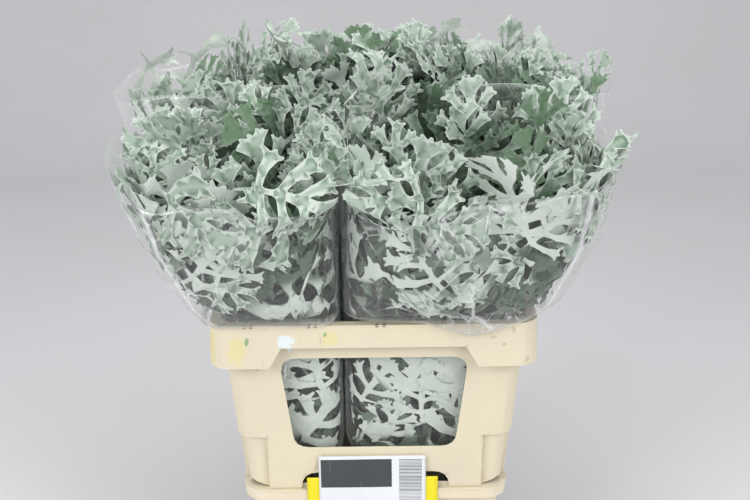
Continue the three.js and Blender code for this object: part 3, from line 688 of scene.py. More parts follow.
def side_shoots(bunch, index, points, rng):
    """Centrelines of a stem's side shoots, each from some way down the stem to a tip of its own."""
    shoots = []
    for k in range(SHOOTS):
        angle = lean_of(bunch, index) + (k + 0.5 + 0.2 * rng.uniform(-1, 1)) * math.tau / SHOOTS
        start = on_line(points, max(NECK_Z, points[-1][2] - rng.uniform(*SHOOT_START)))
        s = section_at(bunch, points[-1][2])
        half_cell = np.array([s["hx"] * SHOOT_SPREAD, s["hy"] * SHOOT_SPREAD, 0])
        tip = points[-1] + half_cell * [math.cos(angle), math.sin(angle), 0]
        tip[2] = dome_height(tip[0], tip[1]) - rng.uniform(*SHOOT_DEPTH)
        tip = keep_inside(bunch, tip[None], SHOOT_CLEARANCE)[0][0]
        middle = (start + tip) / 2 + SHOOT_BULGE * (tip - start)
        shoots.append(np.array([start, middle, tip]))
    return shoots


# %% Where the leaves grow
LEAF_STEPS = 10
TUFT_LEAVES = (5, 4)  # on a stem's own tip and on each shoot
SIDE_LEAVES = 5
LOWEST_LEAF = 240
LEAFLESS_TIP = 36  # no loose leaf grows so close under a tip
FILM_ROWS = 9
FILM_ROW = 46  # between rows of pressed leaves
LOWEST_FILM_ROW = 268
FILM_SPACING = 59  # between pressed leaves in a row
ON_FILM = 0.62  # this share of the pressed leaves touches the film, the others lie just behind
LONGEST_STALK = 0.42  # from a stem to where a pressed leaf begins, in leaf lengths
PRESSED_PULL = 0.45  # how strongly each step turns a pressed leaf to its direction on the film
EDGE_LEAVES = 4
EDGE_ARC = (-48, 118)  # where they hang, in degrees from straight in front: start and whole angle
# from and to: the lengths of leaves, and how far inside the film they keep
TUFT_MARGIN = (2.5, 20)
LOOSE_LENGTH, LOOSE_MARGIN = (100, 132), (8, 26)
PRESSED_LENGTH, TOUCHING_MARGIN, BEHIND_MARGIN = (112, 158), (2.5, 6), (9, 20)
HANGING_LENGTH, HANGING_MARGIN = (105, 145), (-9, -5)
TUFT_SHAPES = [0, 4, 5, 6, 7, 8, 9, 7]
WIDE_SHAPES = [0, 1, 2, 3, 4, 5, 0, 1]
UP = np.array([0, 0, 1.0])


def nudge(rng, most):
    """A small random vector."""
    return [rng.uniform(-most, most) for _ in range(3)]


def leaf_row(rng, root, direction, length, shapes, margin, face=(0, 0, 1), curl=0.0,
             wanted=(0, 0, 0), pull=0.0):
    """What one leaf needs: where and how it starts, its size and shape, and its own tone."""
    return dict(root=root, direction=direction, length=length, shape=rng.choice(shapes), face=face, curl=curl,
                wanted=wanted, pull=pull, margin=rng.uniform(*margin), twist=rng.uniform(-0.35, 0.35),
                tone=rng.random())


def pointing(face, heading, lift):
    """A direction that leans away from a face: its heading round it, and how far it lifts towards it."""
    uphill = unit(UP - face * face[2])
    flat = uphill * math.cos(heading) + np.cross(face, uphill) * math.sin(heading)
    return flat * math.cos(lift) + face * math.sin(lift)


def tuft_leaves(points, lean, count, rng):
    """The tuft round one tip: young inner leaves stand up, larger outer ones spread."""
    rows = []
    x, y, z = points[-1]
    # the upper sides look outwards and up
    axis = unit(np.array([(x - 15) / 380, (y - 240) / 260, 0.55]) + nudge(rng, 0.25))
    for k in range(count):
        share = k / (count - 1)
        face = unit(axis + nudge(rng, 0.15))
        heading = lean + 2.4 * k + rng.uniform(-0.3, 0.3)
        direction = pointing(face, heading, 0.30 - 0.25 * share + rng.uniform(-0.08, 0.08))
        low = 1 + 40 * share + 28 * max(0, math.cos(heading))  # leaves that point up start lower
        length = 98 + 40 * share + rng.uniform(0, 34)
        curl = rng.uniform(-0.03, 0.01)
        root = on_line(points, z - low)
        rows.append(leaf_row(rng, root, direction, length, TUFT_SHAPES, TUFT_MARGIN, face, curl))
    return rows


def loose_leaves(bunch, points, lean, rng):
    """Leaves along the stem below its tuft, most of them towards the outside of the bunch."""
    rows = []
    for k in range(SIDE_LEAVES):
        down = (k + rng.uniform(0.1, 0.9)) / SIDE_LEAVES
        spread = 1.5 if k % 3 else 3.1
        heading, climb = lean + spread * rng.uniform(-1, 1), rng.uniform(0.2, 0.8)
        level = math.cos(climb)
        direction = np.array([math.cos(heading) * level, math.sin(heading) * level, math.sin(climb)])
        highest = points[-1][2] - LEAFLESS_TIP
        root = on_line(points, highest - (highest - LOWEST_LEAF) * down)
        face = unit(UP - outward_at(bunch, root[None] + 40 * direction)[0])
        length, curl = rng.uniform(*LOOSE_LENGTH), rng.uniform(-0.05, 0.0)
        rows.append(leaf_row(rng, root, direction, length, WIDE_SHAPES, LOOSE_MARGIN, face, curl))
    return rows


def pressed_leaf(bunch, cloud, target, rng):
    """One leaf on the film or just behind it, and which of the cloud's points it grows from."""
    outward = outward_at(bunch, target[None])[0]
    up = unit(UP - outward * outward[2])
    angle = rng.gauss(0, 0.65)
    wanted = up * math.cos(angle) + np.cross(outward, up) * math.sin(angle)
    length = rng.uniform(*PRESSED_LENGTH)
    base = target - 0.45 * length * wanted
    nearest = int(np.argmin(((cloud - base + [0, 0, 14]) ** 2).sum(1)))
    root = cloud[nearest]
    away = np.linalg.norm(base - root)
    if away > LONGEST_STALK * length:
        root = base + (root - base) * LONGEST_STALK * length / away
    direction = unit(base - root) if away > 8 else wanted
    margin = TOUCHING_MARGIN if rng.random() < ON_FILM else BEHIND_MARGIN
    leaf = leaf_row(rng, root, direction, length, WIDE_SHAPES, margin, wanted=wanted, pull=PRESSED_PULL)
    return leaf, nearest


def pressed_leaves(bunch, lines, rng):
    """Leaves that lie against the film, row by row round it, each growing from the nearest of the lines.

    lines is a list of (stem name, densely spaced points). The result is a list of (stem name, leaf)."""
    owners = np.concatenate([[k] * len(points) for k, (_, points) in enumerate(lines)])
    cloud = np.concatenate([points for _, points in lines])
    turn = np.linspace(0, math.tau, 241)[:-1]
    found = []
    for row in range(FILM_ROWS):
        z = LOWEST_FILM_ROW + FILM_ROW * row
        s = section_at(bunch, z)
        ring = on_film(s, np.cos(turn), np.sin(turn), z)
        steps = np.linalg.norm(np.diff(ring, axis=0, append=ring[:1]), axis=1)
        walked = np.concatenate([[0], np.cumsum(steps)])
        count = max(4, round(walked[-1] / FILM_SPACING))
        for k in range(count):
            way = (k + 0.5 * (row % 2) + rng.uniform(0, 0.4)) / count * walked[-1] % walked[-1]
            place = ring[int(np.searchsorted(walked, way)) % len(ring)]
            target = place + np.array([0, 0, rng.uniform(-16, 16)])
            dx, dy = target[0] - s["cx"], target[1] - s["cy"]
            if target[2] > film_top(bunch, dx, dy) + 25:
                continue
            facing = max(dx / s["hx"] * bunch["side"][0], dy / s["hy"] * bunch["side"][1])
            hidden = facing < 0.3 and (bunch["side"][1] > 0 or target[1] > -60)
            if hidden and rng.random() < 0.6:
                continue
            leaf, nearest = pressed_leaf(bunch, cloud, target, rng)
            found.append((lines[owners[nearest]][0], leaf))
    return found


def edge_leaves(bunch, lines, rng):
    """A few leaves that hang over the film's edge, on the outside of the container."""
    found = []
    for k in range(EDGE_LEAVES):
        angle = math.radians(EDGE_ARC[0] + EDGE_ARC[1] * (k + rng.uniform(0.25, 0.75)) / EDGE_LEAVES)
        away = np.array([bunch["side"][0] * math.sin(angle), bunch["side"][1] * math.cos(angle)])
        z = float(film_top(bunch, *away)) + rng.uniform(2, 24)
        place = on_film(section_at(bunch, z), *away, z)
        outward = outward_at(bunch, place[None])[0]
        sideways = np.cross(outward, UP) * rng.choice((-1, 1))
        direction = unit(sideways + 0.25 * outward + [0, 0, rng.uniform(-0.6, 0.3)])
        face = unit(outward + 0.3 * UP)
        length = rng.uniform(*HANGING_LENGTH)
        leaf = leaf_row(rng, place - 14 * outward, direction, length, WIDE_SHAPES, HANGING_MARGIN, face)
        owner = min(lines, key=lambda line: np.linalg.norm(line[1] - leaf["root"], axis=1).min())[0]
        found.append((owner, leaf))
    return found


# %% Walk along the midribs
TURN_DOWN = 0.22  # how strongly a leaf that stands out of the dome turns down at each step


def dot(a, b):
    """Scalar products, row by row."""
    return (a * b).sum(1, keepdims=True)


def midribs(bunch, rows):
    """Frames along the midribs of leaves: places, directions sideways and up, each leaves x steps x 3.

    The last result tells how deep inside the bunch each place lies, from 0 to 1, for painted shade."""
    step = np.array([r["length"] for r in rows])[:, None] / LEAF_STEPS
    margin, curl = (np.array([r[k] for r in rows]) for k in ("margin", "curl"))
    twist, pull = (np.array([r[k] for r in rows])[:, None] for k in ("twist", "pull"))
    wanted, face = (np.array([r[k] for r in rows], float) for k in ("wanted", "face"))
    p, d = (np.array([r[k] for r in rows]) for k in ("root", "direction"))
    # a free leaf inside the film that would run into it grows up along it instead
    limit, reach, _ = film_limit(bunch, p + d * step * LEAF_STEPS, margin)
    blocked = rise(reach / limit, 1, 0.25)[:, None] * (pull == 0) * (margin > 0)[:, None]
    outward = outward_at(bunch, p)
    d = unit(d + blocked * ([0, 0, 0.5] - outward * np.maximum(0, dot(d, outward))))
    places, sides, ups, shade_depths = [], [], [], []
    for _ in range(LEAF_STEPS + 1):
        _, touch = keep_inside(bunch, p, margin)
        s = section_at(bunch, p[:, 2])
        room = film_top(bunch, p[:, 0] - s["cx"], p[:, 1] - s["cy"]) - p[:, 2]
        below = np.clip(room / 40 + 0.5, 0, 1)
        # only pressed leaves turn flat against the film, and only below its edge
        near = rise(touch, 0.72, 0.25)[:, None] * below[:, None] * (pull > 0)
        # how deep a place lies under the dome and off the film: the leaf material paints shade there
        sunk = rise(dome_height(p[:, 0], p[:, 1]) - 32 - p[:, 2], 0, 75)
        off_film = np.maximum(rise(0.985 - touch, 0, 0.10), rise(margin, 6, 10))
        shade_depths.append(sunk * off_film)
        up = unit(face - d * dot(face, d))
        up = up * (1 - near) - outward_at(bunch, p) * near
        up = unit(up - d * dot(up, d))
        side = np.cross(d, up)
        angle = twist * (1 - near)
        up, side = up * np.cos(angle) - side * np.sin(angle), side * np.cos(angle) + up * np.sin(angle)
        places.append(p)
        sides.append(side)
        ups.append(up)
        ahead, _ = keep_inside(bunch, p + d * step, margin)
        d = unit(ahead - p)
        # leaves that stand out of the dome turn down
        crowded = rise(ahead[:, 2] + 30 - dome_height(ahead[:, 0], ahead[:, 1]), 0, 50)
        d = d + up * (curl * (1 - near[:, 0]))[:, None]
        d[:, 2] -= TURN_DOWN * crowded
        d = unit(unit(d) * (1 - pull * near) + wanted * pull * near)
        p = p + d * step
    return tuple(np.stack(a, 1) for a in (places, sides, ups, shade_depths))


STEMS = {}
for b, (bunch_name, bunch) in enumerate(BUNCHES.items()):
    lines = []
    for index in range(len(TIP_PLACES)):
        rng = random.Random(7 + 31 * b + index)
        name = f"stem_{bunch_name}_{index + 1}"
        points = stem_points(bunch, index, 1000 * b + 100 * index + 17)
        shoots = side_shoots(bunch, index, points, rng)
        lean = lean_of(bunch, index)
        rows = tuft_leaves(points, lean, TUFT_LEAVES[0], rng) + loose_leaves(bunch, points, lean, rng)
        for shoot in shoots:
            rows += tuft_leaves(shoot, lean + rng.uniform(0, math.tau), TUFT_LEAVES[1], rng)
        STEMS[name] = (bunch, points, shoots, rows)
        for line in [points, *shoots]:
            lines.append((name, dense_line(bunch, line, LOWEST_LEAF - 60, 8)[1]))
    rng = random.Random(900 + b)
    for owner, row in pressed_leaves(bunch, lines, rng) + edge_leaves(bunch, lines, rng):
        STEMS[owner][3].append(row)
leaf_counts = [len(stem[3]) for stem in STEMS.values()]
print("leaves:", sum(leaf_counts), "most on one stem:", max(leaf_counts))

# %% [markdown]
# ## Leaves along their midribs, with Geometry Nodes
#
# Bending hundreds of leaves one by one in Python would be slow and would hide the rule. The node tree holds
# the rule: it puts a flat leaf shape on one point for each leaf, then moves every leaf point to its own
# place between two frames of the midrib. The midrib frames arrive as a mesh with attributes, which is a
# good way to hand tables to Geometry Nodes. The stem itself is a tube along its centreline, in the same
# tree.


# %% A small helper for node trees
class NodeTree:
    """Adds nodes and links to a tree with few words."""

    def __init__(self, tree):
        self.tree = tree

    def node(self, kind, inputs=None, **settings):
        node = self.tree.nodes.new(kind)
        for name, value in settings.items():
            setattr(node, name, value)
        for name, value in (inputs or {}).items():
            socket = node.inputs[name]
            if isinstance(value, bpy.types.NodeSocket):
                self.tree.links.new(value, socket)
            else:
                socket.default_value = value
        return node

    def out(self, kind, inputs=None, **settings):
        """The first output of a new node."""
        return self.node(kind, inputs, **settings).outputs[0]

    def math(self, operation, *values):
        return self.out("ShaderNodeMath", dict(enumerate(values)), operation=operation)

    def plus(self, a, b):
        return self.math("ADD", a, b)

    def minus(self, a, b):
        return self.math("SUBTRACT", a, b)

    def times(self, a, b):
        return self.math("MULTIPLY", a, b)

    def vector(self, operation, *values):
        return self.out("ShaderNodeVectorMath", dict(enumerate(values)), operation=operation)

    def scaled(self, vector, factor):
        return self.out("ShaderNodeVectorMath", {0: vector, "Scale": factor}, operation="SCALE")

    def xyz(self, *values):
        return self.out("ShaderNodeCombineXYZ", dict(enumerate(values)))

    def attribute(self, name, kind="FLOAT"):
        node = self.node("GeometryNodeInputNamedAttribute", {"Name": name}, data_type=kind)
        return node.outputs["Attribute"]


def geometry_tree(name, inputs):
    """A Geometry Nodes tree with Geometry in and out and named inputs: its helper and its given values."""
    tree = bpy.data.node_groups.new(name, "GeometryNodeTree")
    tree.interface.new_socket("Geometry", in_out="INPUT", socket_type="NodeSocketGeometry")
    for label, (kind, default) in inputs.items():
        socket = tree.interface.new_socket(label, in_out="INPUT", socket_type=kind)
        if default is not None:
            socket.default_value = default
    tree.interface.new_socket("Geometry", in_out="OUTPUT", socket_type="NodeSocketGeometry")
    tree.is_modifier = True
    t = NodeTree(tree)
    return t, t.node("NodeGroupInput").outputs


def finish_tree(t, geometry, material):
    """Gives what a tree made its material and sends it out."""
    painted = t.out("GeometryNodeSetMaterial", {"Geometry": geometry, "Material": material})
    t.node("NodeGroupOutput", {"Geometry": painted})
    return t.tree


def grow(obj, tree, values):
    """Runs a tree on an object with values for its named inputs, and keeps the result as a plain mesh."""
    modifier = obj.modifiers.new(tree.name, "NODES")
    modifier.node_group = tree
    for item in tree.interface.items_tree:
        if item.item_type == "SOCKET" and item.in_out == "INPUT" and item.name in values:
            modifier[item.identifier] = values[item.name]
    return apply_modifiers(obj)


# %% The tree of leaves
def build_leaf_tree():
    t, given = geometry_tree("leaves along their midribs", {
        "Leaf shapes": ("NodeSocketCollection", None),
        "Stem line": ("NodeSocketObject", None),
        "Frames per leaf": ("NodeSocketInt", LEAF_STEPS + 1),
        "Lobe lift": ("NodeSocketFloat", 0.03),
        "Waviness": ("NodeSocketFloat", 0.05),
        "Stem sides": ("NodeSocketInt", 8),
        "Material": ("NodeSocketMaterial", None),
    })
    frames, per_leaf = given["Geometry"], given["Frames per leaf"]

    # one point for each leaf, at the origin, carrying the leaf's own numbers
    first = t.math("COMPARE", t.math("MODULO", t.out("GeometryNodeInputIndex"), per_leaf), 0.0, 0.1)
    # an unlinked Position input would mean the frame's own place
    points = t.out("GeometryNodeMeshToPoints", {"Mesh": frames, "Selection": first, "Position": t.xyz()})
    shapes = t.out("GeometryNodeCollectionInfo",
                   {"Collection": given["Leaf shapes"], "Separate Children": True, "Reset Children": True})
    leaves = t.out("GeometryNodeInstanceOnPoints",
                   {"Points": points, "Instance": shapes, "Pick Instance": True,
                    "Instance Index": t.attribute("shape", "INT")})
    leaves = t.out("GeometryNodeRealizeInstances", {"Geometry": leaves})

    # where a leaf point lies along the midrib: between frame i and frame i + 1
    place = t.out("GeometryNodeInputPosition")
    x, y, z = t.node("ShaderNodeSeparateXYZ", {0: place}).outputs
    steps = t.minus(per_leaf, 1.0)
    along = t.times(t.math("MAXIMUM", x, 0.0), steps)
    cell = t.math("MINIMUM", t.math("FLOOR", along), t.minus(steps, 1.0))
    share = t.minus(along, cell)
    low = t.plus(t.times(t.attribute("leaf", "INT"), per_leaf), cell)
    high = t.plus(low, 1.0)

    def between(value):
        """A value of the frames, mixed from the two that the leaf point lies between."""
        a, b = (t.out("GeometryNodeSampleIndex", {"Geometry": frames, "Value": value, "Index": i},
                      data_type="FLOAT_VECTOR", domain="POINT") for i in (low, high))
        mix = t.node("ShaderNodeMix", {0: share, 4: a, 5: b}, data_type="VECTOR", clamp_factor=False)
        return mix.outputs[1]

    # lobes lift away from the midrib, each a little differently
    length = t.attribute("length")
    seed = t.scaled(t.xyz(7.1, 3.7, 1.3), t.attribute("leaf", "INT"))
    noise = t.out("ShaderNodeTexNoise", {"Vector": t.vector("ADD", place, seed), "Scale": 4.5, "Detail": 1.0})
    sway = t.times(t.minus(noise, 0.5), 2.0)
    bend = t.math("MULTIPLY_ADD", sway, t.times(given["Waviness"], 5.0), given["Lobe lift"])
    lift = t.times(t.times(t.math("ABSOLUTE", y), bend), t.attribute("freedom"))
    lift = t.times(t.plus(lift, z), length)
    # how deep inside the bunch each leaf point lies, from which the material paints shade
    leaves = t.out("GeometryNodeStoreNamedAttribute",
                   {"Geometry": leaves, "Name": "inner", "Value": between(t.attribute("depth"))},
                   data_type="FLOAT", domain="POINT")
    aside = t.scaled(between(t.attribute("across", "FLOAT_VECTOR")), t.times(y, length))
    raised = t.scaled(between(t.attribute("up", "FLOAT_VECTOR")), lift)
    moved = t.vector("ADD", t.vector("ADD", between(t.out("GeometryNodeInputPosition")), aside), raised)
    leaves = t.out("GeometryNodeSetPosition", {"Geometry": leaves, "Position": moved})

    # the stem, a tapering tube
    line = t.node("GeometryNodeObjectInfo", {"Object": given["Stem line"]}).outputs["Geometry"]
    curve = t.out("GeometryNodeMeshToCurve", {"Mesh": line})
    ring = t.out("GeometryNodeCurvePrimitiveCircle", {"Resolution": given["Stem sides"], "Radius": 1.0})
    tube = t.out("GeometryNodeCurveToMesh", {"Curve": curve, "Profile Curve": ring, "Fill Caps": True,
                                             "Scale": t.attribute("girth")})

    joined = t.node("GeometryNodeJoinGeometry")
    for part in (leaves, tube):
        t.tree.links.new(part, joined.inputs[0])
    whole = t.out("GeometryNodeRealizeInstances", {"Geometry": joined.outputs[0]})
    return finish_tree(t, whole, given["Material"])


leaf_tree = build_leaf_tree()
print("nodes in the leaf tree:", len(leaf_tree.nodes))

# %% [markdown]
# ## Felted leaves: the material
#
# Dusty miller is silver because its leaves are covered with fine white hairs. They lie thickest on the
# underside and along the margin, and thin out on the upper face, where grey green shows through. The leaf
# mesh carries those zones as attributes, so the colours follow each leaf however it is bent. Fine noise
# breaks them up, a soft sheen stands for the felt, and a little bump raises the veins. A few leaves are
# fresh: they have hardly any felt yet.
# Leaves deep inside the bunch are darkened with painted shade, as if little light reached them.


# %% Shader helpers
def new_material(name, roughness=0.5, **constants):
    """A Principled material; constants are set on its sockets directly."""
    material = bpy.data.materials.new(name)
    material.use_nodes = True
    shader = material.node_tree.nodes["Principled BSDF"]
    shader.inputs["Roughness"].default_value = roughness
    for label, value in constants.items():
        shader.inputs[label.replace("_", " ")].default_value = value
    return material, NodeTree(material.node_tree), shader


def wire_up(t, shader, bump, **sockets):
    """Links a bump, given as its height, strength and distance, and other sockets to a material's shader."""
    for label, value in sockets.items():
        t.tree.links.new(value, shader.inputs[label.replace("_", " ")])
    height, strength, distance = bump
    relief = t.out("ShaderNodeBump", {"Height": height, "Strength": strength, "Distance": distance})
    t.tree.links.new(relief, shader.inputs["Normal"])


def blend_colors(t, factor, a, b, mode="MIX"):
    """Mixes two colours; each may be a colour or a socket."""
    factor_socket, a_socket, b_socket = 0, 6, 7
    inputs = {factor_socket: factor}
    for socket, value in ((a_socket, a), (b_socket, b)):
        inputs[socket] = value if isinstance(value, bpy.types.NodeSocket) else (*value, 1.0)
    return t.node("ShaderNodeMix", inputs, data_type="RGBA", blend_type=mode).outputs[2]


def tint(t, color, mask, strength, tone, mode="MIX"):
    """Lays a tone over a colour where a mask is, no stronger than told."""
    return blend_colors(t, t.times(mask, strength), color, tone, mode)


def ramp(t, value, low, high):
    """0 below low, 1 above high, smooth between."""
    return t.out("ShaderNodeMapRange", {0: value, 1: low, 2: high}, interpolation_type="SMOOTHSTEP")


def fall(t, value, low, high):
    """1 below low, 0 above high, smooth between."""
    return t.minus(1.0, ramp(t, value, low, high))


def attribute_value(t, name):
    return t.node("ShaderNodeAttribute", attribute_name=name).outputs["Fac"]


def object_point(t):
    return t.node("ShaderNodeTexCoord").outputs["Object"]


def noise_value(t, point, scale, detail=3.0, roughness=0.55):
    inputs = {"Vector": point, "Scale": scale, "Detail": detail, "Roughness": roughness}
    return t.out("ShaderNodeTexNoise", inputs)


def cell_edges(t, point, scale):
    """Distance to the edges of a pattern of cells."""
    inputs = {"Vector": point, "Scale": scale}
    return t.node("ShaderNodeTexVoronoi", inputs, feature="DISTANCE_TO_EDGE").outputs["Distance"]


# %% Leaf material
def make_leaf_material():
    material, t, shader = new_material("felted leaf", 0.72, Specular_IOR_Level=0.25, Sheen_Weight=0.35,
                                       Sheen_Roughness=0.5, Sheen_Tint=(0.93, 0.97, 0.93, 1))
    point = object_point(t)
    zones = ("tone", "under", "vein", "margin", "inner")
    tone, under, vein, margin, inner = (attribute_value(t, zone) for zone in zones)
    cloudy = noise_value(t, point, 38.0)
    fine = noise_value(t, point, 520.0, 2.0)

    upper = blend_colors(t, ramp(t, tone, 0.0, 0.75), (0.175, 0.255, 0.18), (0.10, 0.165, 0.105))
    upper = blend_colors(t, ramp(t, cloudy, 0.42, 0.75), upper, (0.25, 0.33, 0.255))
    upper = tint(t, upper, vein, 0.7, (0.46, 0.56, 0.46))
    edge = fall(t, t.plus(margin, t.times(t.minus(fine, 0.5), 0.4)), 0.3, 0.95)
    upper = tint(t, upper, edge, 0.85, (0.60, 0.67, 0.60))
    fresh = ramp(t, tone, 0.85, 0.88)
    upper = tint(t, upper, fresh, 0.82, (0.070, 0.150, 0.065))
    lower = blend_colors(t, ramp(t, cloudy, 0.35, 0.7), (0.56, 0.625, 0.565), (0.65, 0.705, 0.65))
    lower = tint(t, lower, vein, 0.35, (0.50, 0.60, 0.49))
    color = blend_colors(t, ramp(t, under, 0.45, 0.75), upper, lower)
    color = tint(t, color, ramp(t, fine, 0.45, 0.8), 0.10, (0.85, 0.88, 0.84))
    # painted shade: leaves deep inside the bunch are darkened, as if little light reached them
    color = tint(t, color, ramp(t, inner, 0.04, 0.5), 0.92, (0.11, 0.17, 0.11), "MULTIPLY")
    relief = t.plus(t.times(fine, 0.35), t.times(vein, 0.8))
    wire_up(t, shader, (relief, 0.35, 0.0006), Base_Color=color)
    return material


leaf_material = make_leaf_material()


# %% Grow the 24 stems
PRESSED_FREEDOM = 0.2  # how much of their lift the lobes of a pressed leaf keep


def frames_object(name, frames, rows):
    """The midrib frames of one stem as loose points with attributes."""
    places, sides, ups, shade_depths = frames
    count, steps, _ = places.shape
    obj = new_object(name, places.reshape(-1, 3) * MM)
    write_attribute(obj.data, "across", sides, "FLOAT_VECTOR")
    write_attribute(obj.data, "up", ups, "FLOAT_VECTOR")
    # how deep inside the bunch: the leaf material paints shade from it
    write_attribute(obj.data, "depth", shade_depths)
    for label, kind, values in (
            ("leaf", "INT", range(count)),
            ("shape", "INT", [r["shape"] for r in rows]),
            ("length", "FLOAT", [r["length"] * MM for r in rows]),
            ("tone", "FLOAT", [r["tone"] for r in rows]),
            ("freedom", "FLOAT", [PRESSED_FREEDOM if r["pull"] else 1.0 for r in rows])):
        write_attribute(obj.data, label, np.repeat(values, steps), kind)
    return obj


def stem_lines(name, bunch, points, shoots):
    """The centrelines of a stem and its shoots as an edge mesh with the girth at each point."""
    places, girths, edges = [], [], []
    for line, taper in [(points, STEM_TAPER)] + [(shoot, SHOOT_TAPER) for shoot in shoots]:
        heights, bent = dense_line(bunch, line, line[0, 2] - 1, 22)
        for _ in range(3):  # soften the corners of the centreline
            bent[1:-1] = (bent[:-2] + 2 * bent[1:-1] + bent[2:]) / 4
        edges += [(len(places) + i, len(places) + i + 1) for i in range(len(bent) - 1)]
        places += list(bent * MM)
        girths += list(np.interp(heights, line[:, 2], taper) * STEM_RADIUS * MM)
    obj = new_object(name, places, edges=edges)
    write_attribute(obj.data, "girth", girths)
    return obj


def read_values(data, key, kind, per_point=1):
    """What every point has under a key, as one long array."""
    values = np.zeros(len(data) * per_point, kind)
    data.foreach_get(key, values)
    return values


def press_inside(obj, bunch, rows):
    """Keeps every leaf point inside the film, leaf by leaf, with what touches it pressed flat."""
    mesh = obj.data
    p = read_values(mesh.vertices, "co", float, 3).reshape(-1, 3) / MM
    leaf = read_values(mesh.attributes["leaf"].data, "value", np.int32)
    # the stem's tube has no leaf length
    blade = read_values(mesh.attributes["length"].data, "value", np.float32) > 0
    margin = np.array([r["margin"] for r in rows])[leaf[blade]]
    p[blade], _ = keep_inside(bunch, p[blade], 0.6 * margin, softness=0.08)
    mesh.vertices.foreach_set("co", (p * MM).reshape(-1))
    mesh.update()


def make_stem(name):
    bunch, points, shoots, rows = STEMS[name]
    obj = frames_object(name + " frames", midribs(bunch, rows), rows)
    obj.name = "leafy_" + name
    line = stem_lines(name + " line", bunch, points, shoots)
    grow(obj, leaf_tree, {"Leaf shapes": leaf_shapes, "Stem line": line, "Material": leaf_material})
    bpy.data.objects.remove(line)
    press_inside(obj, bunch, rows)
    obj.data.shade_flat()
    return finish_piece(obj, name)


leafy_stems = [make_stem(name) for name in STEMS]
stem_triangles = [triangles(stem) for stem in leafy_stems]
print("stems:", len(leafy_stems), "triangles:", sum(stem_triangles), "most in one:", max(stem_triangles))

# %% [markdown]
# ## Film sleeves
#
# A sleeve is a bag of clear film about 0.04 mm thick, open at the top and gathered where the bunch is tied.
# It is seen by what it does to light: white creases where it was crumpled, a pale veil where it is seen at
# a slant, and a few sharp reflections. The white creases, the fold over the rim and the cut edge are painted
# highlights. The mesh is a grid round the same cell as the leaves, pushed outwards into long folds where the
# film hangs free, and bulging over the container's rim. The folds are sums of triangle waves, because a
# crease in film is a corner, not a wave. It is given a little thickness, so that it is a closed solid.

# %% Film grid
FILM_COLUMNS = 104
ROWS_TO_RIM = 24
ROWS_ON_RIM = np.array([3, 6, 9, 12, 16, 21, 27])  # over the rim's top
ROWS_ABOVE = 34
FILM_THICKNESS = 0.25
ROOM_IN_CONTAINER = 3.0  # how far folds may stand out inside the container
ROOM_AT_SEAM = 0.5  # and between two bunches
ROOM_ABOVE = 5.5  # and how much farther over the rim
FOLDS = [(150, 0.28, 4.2), (62, 0.9, 1.6), (34, 1.5, 0.8)]  # mean length, spread of directions and height
FLAP_X = (75, 117, 210)  # a flap of film over the rim's front: where it starts, hangs lowest and ends
FLAP_DEPTH = 24
BAG_SEAM = {-1: 0.40, 1: 0.62}  # where the bag was welded, for bunches on the left and on the right
CUT_EDGE_HIGHLIGHT = 0.4  # how bright the painted highlight along the cut edge is


def triangle_wave(x):
    """Like a cosine, but with straight flanks."""
    return np.abs((x / math.pi) % 2 - 1) * 2 - 1


def fold_pattern(arc, z, seed, length, spread, waves=5):
    """Sharp folds over a sheet, from -1 to 1. spread is that of their directions, in radians."""
    rng = random.Random(seed)
    total = np.zeros(arc.shape)
    for _ in range(waves):
        direction = rng.gauss(0, spread)
        k = math.tau / (length * rng.uniform(0.6, 1.5))
        curve = arc / length * rng.uniform(0.4, 0.9) + z / length * rng.uniform(0.4, 0.9) + rng.uniform(0, 6)
        along = k * (arc * math.cos(direction) + z * math.sin(direction))
        total += triangle_wave(along + 0.5 * np.sin(curve) + rng.uniform(0, 6))
    return total / waves


def film_heights(top):
    """Heights of the grid's points. The rows lie close together where the film passes over the rim."""
    low = np.concatenate([np.linspace(CELL_Z[0], RIM_TOP, ROWS_TO_RIM), RIM_TOP + ROWS_ON_RIM])
    share = np.linspace(0, 1, ROWS_ABOVE + 1)[1:]
    high = low[-1] + share[:, None] * (top - low[-1])[None]
    return np.concatenate([low[:, None] + np.zeros(len(top)), high])


def film_points(bunch, seed):
    """Rows x columns x 3 points of the sleeve, the arc along each row, and how free the film is there."""
    turn = (np.arange(FILM_COLUMNS) + 0.5) / FILM_COLUMNS * math.tau
    cosine, sine = np.cos(turn), np.sin(turn)
    middle = section_at(bunch, MOUTH_Z)
    top = film_top(bunch, cosine * middle["hx"], sine * middle["hy"])
    top = top + 5 * np.sin(3 * turn + seed) + 3 * np.sin(8 * turn + 2 * seed)
    z = film_heights(top)
    s = section_at(bunch, z)
    p = on_film(s, cosine, sine, z)
    arc = np.cumsum(np.linalg.norm(np.diff(p, axis=1, append=p[:, :1]), axis=2), axis=1)
    facing = np.maximum(squared(cosine, s["n"]) * bunch["side"][0], squared(sine, s["n"]) * bunch["side"][1])
    outside = rise(facing, 0.55, 0.3)
    above = rise(z - RIM_TOP, 12, 60)
    return p, arc, outside, above


def hump(away, width):
    """1 where away is 0, falling to nothing on both sides."""
    return np.exp(-(away / width) ** 2)


def bend_over_rim(p, z, arc, outside, bunch, seed):
    """Lifts film points p a little on the rim and lets them sag in front of it, one flap more than the rest.

    z is their height before the folds. The result tells how sharply the film is folded there, where a
    highlight line is painted."""
    sag = np.clip(9 + 6 * np.sin(arc / 95 + seed) + 4 * np.sin(arc / 37), 0, 15)
    if bunch["side"][0] > 0:
        start, lowest, end = FLAP_X
        flap = np.minimum((p[..., 0] - start) / (lowest - start), (end - p[..., 0]) / (end - lowest))
        sag = np.maximum(0.5 * sag, FLAP_DEPTH * np.clip(flap, 0, 1))
    passing = outside * hump(z - RIM_TOP - 13, 10) * (z > RIM_TOP + 8)
    p[..., 2] += outside * 3 * hump(z - RIM_TOP - 5, 3) - passing * sag
    return outside * hump(z - RIM_TOP - 12, 2.5) * rise(sag, 5, 8)


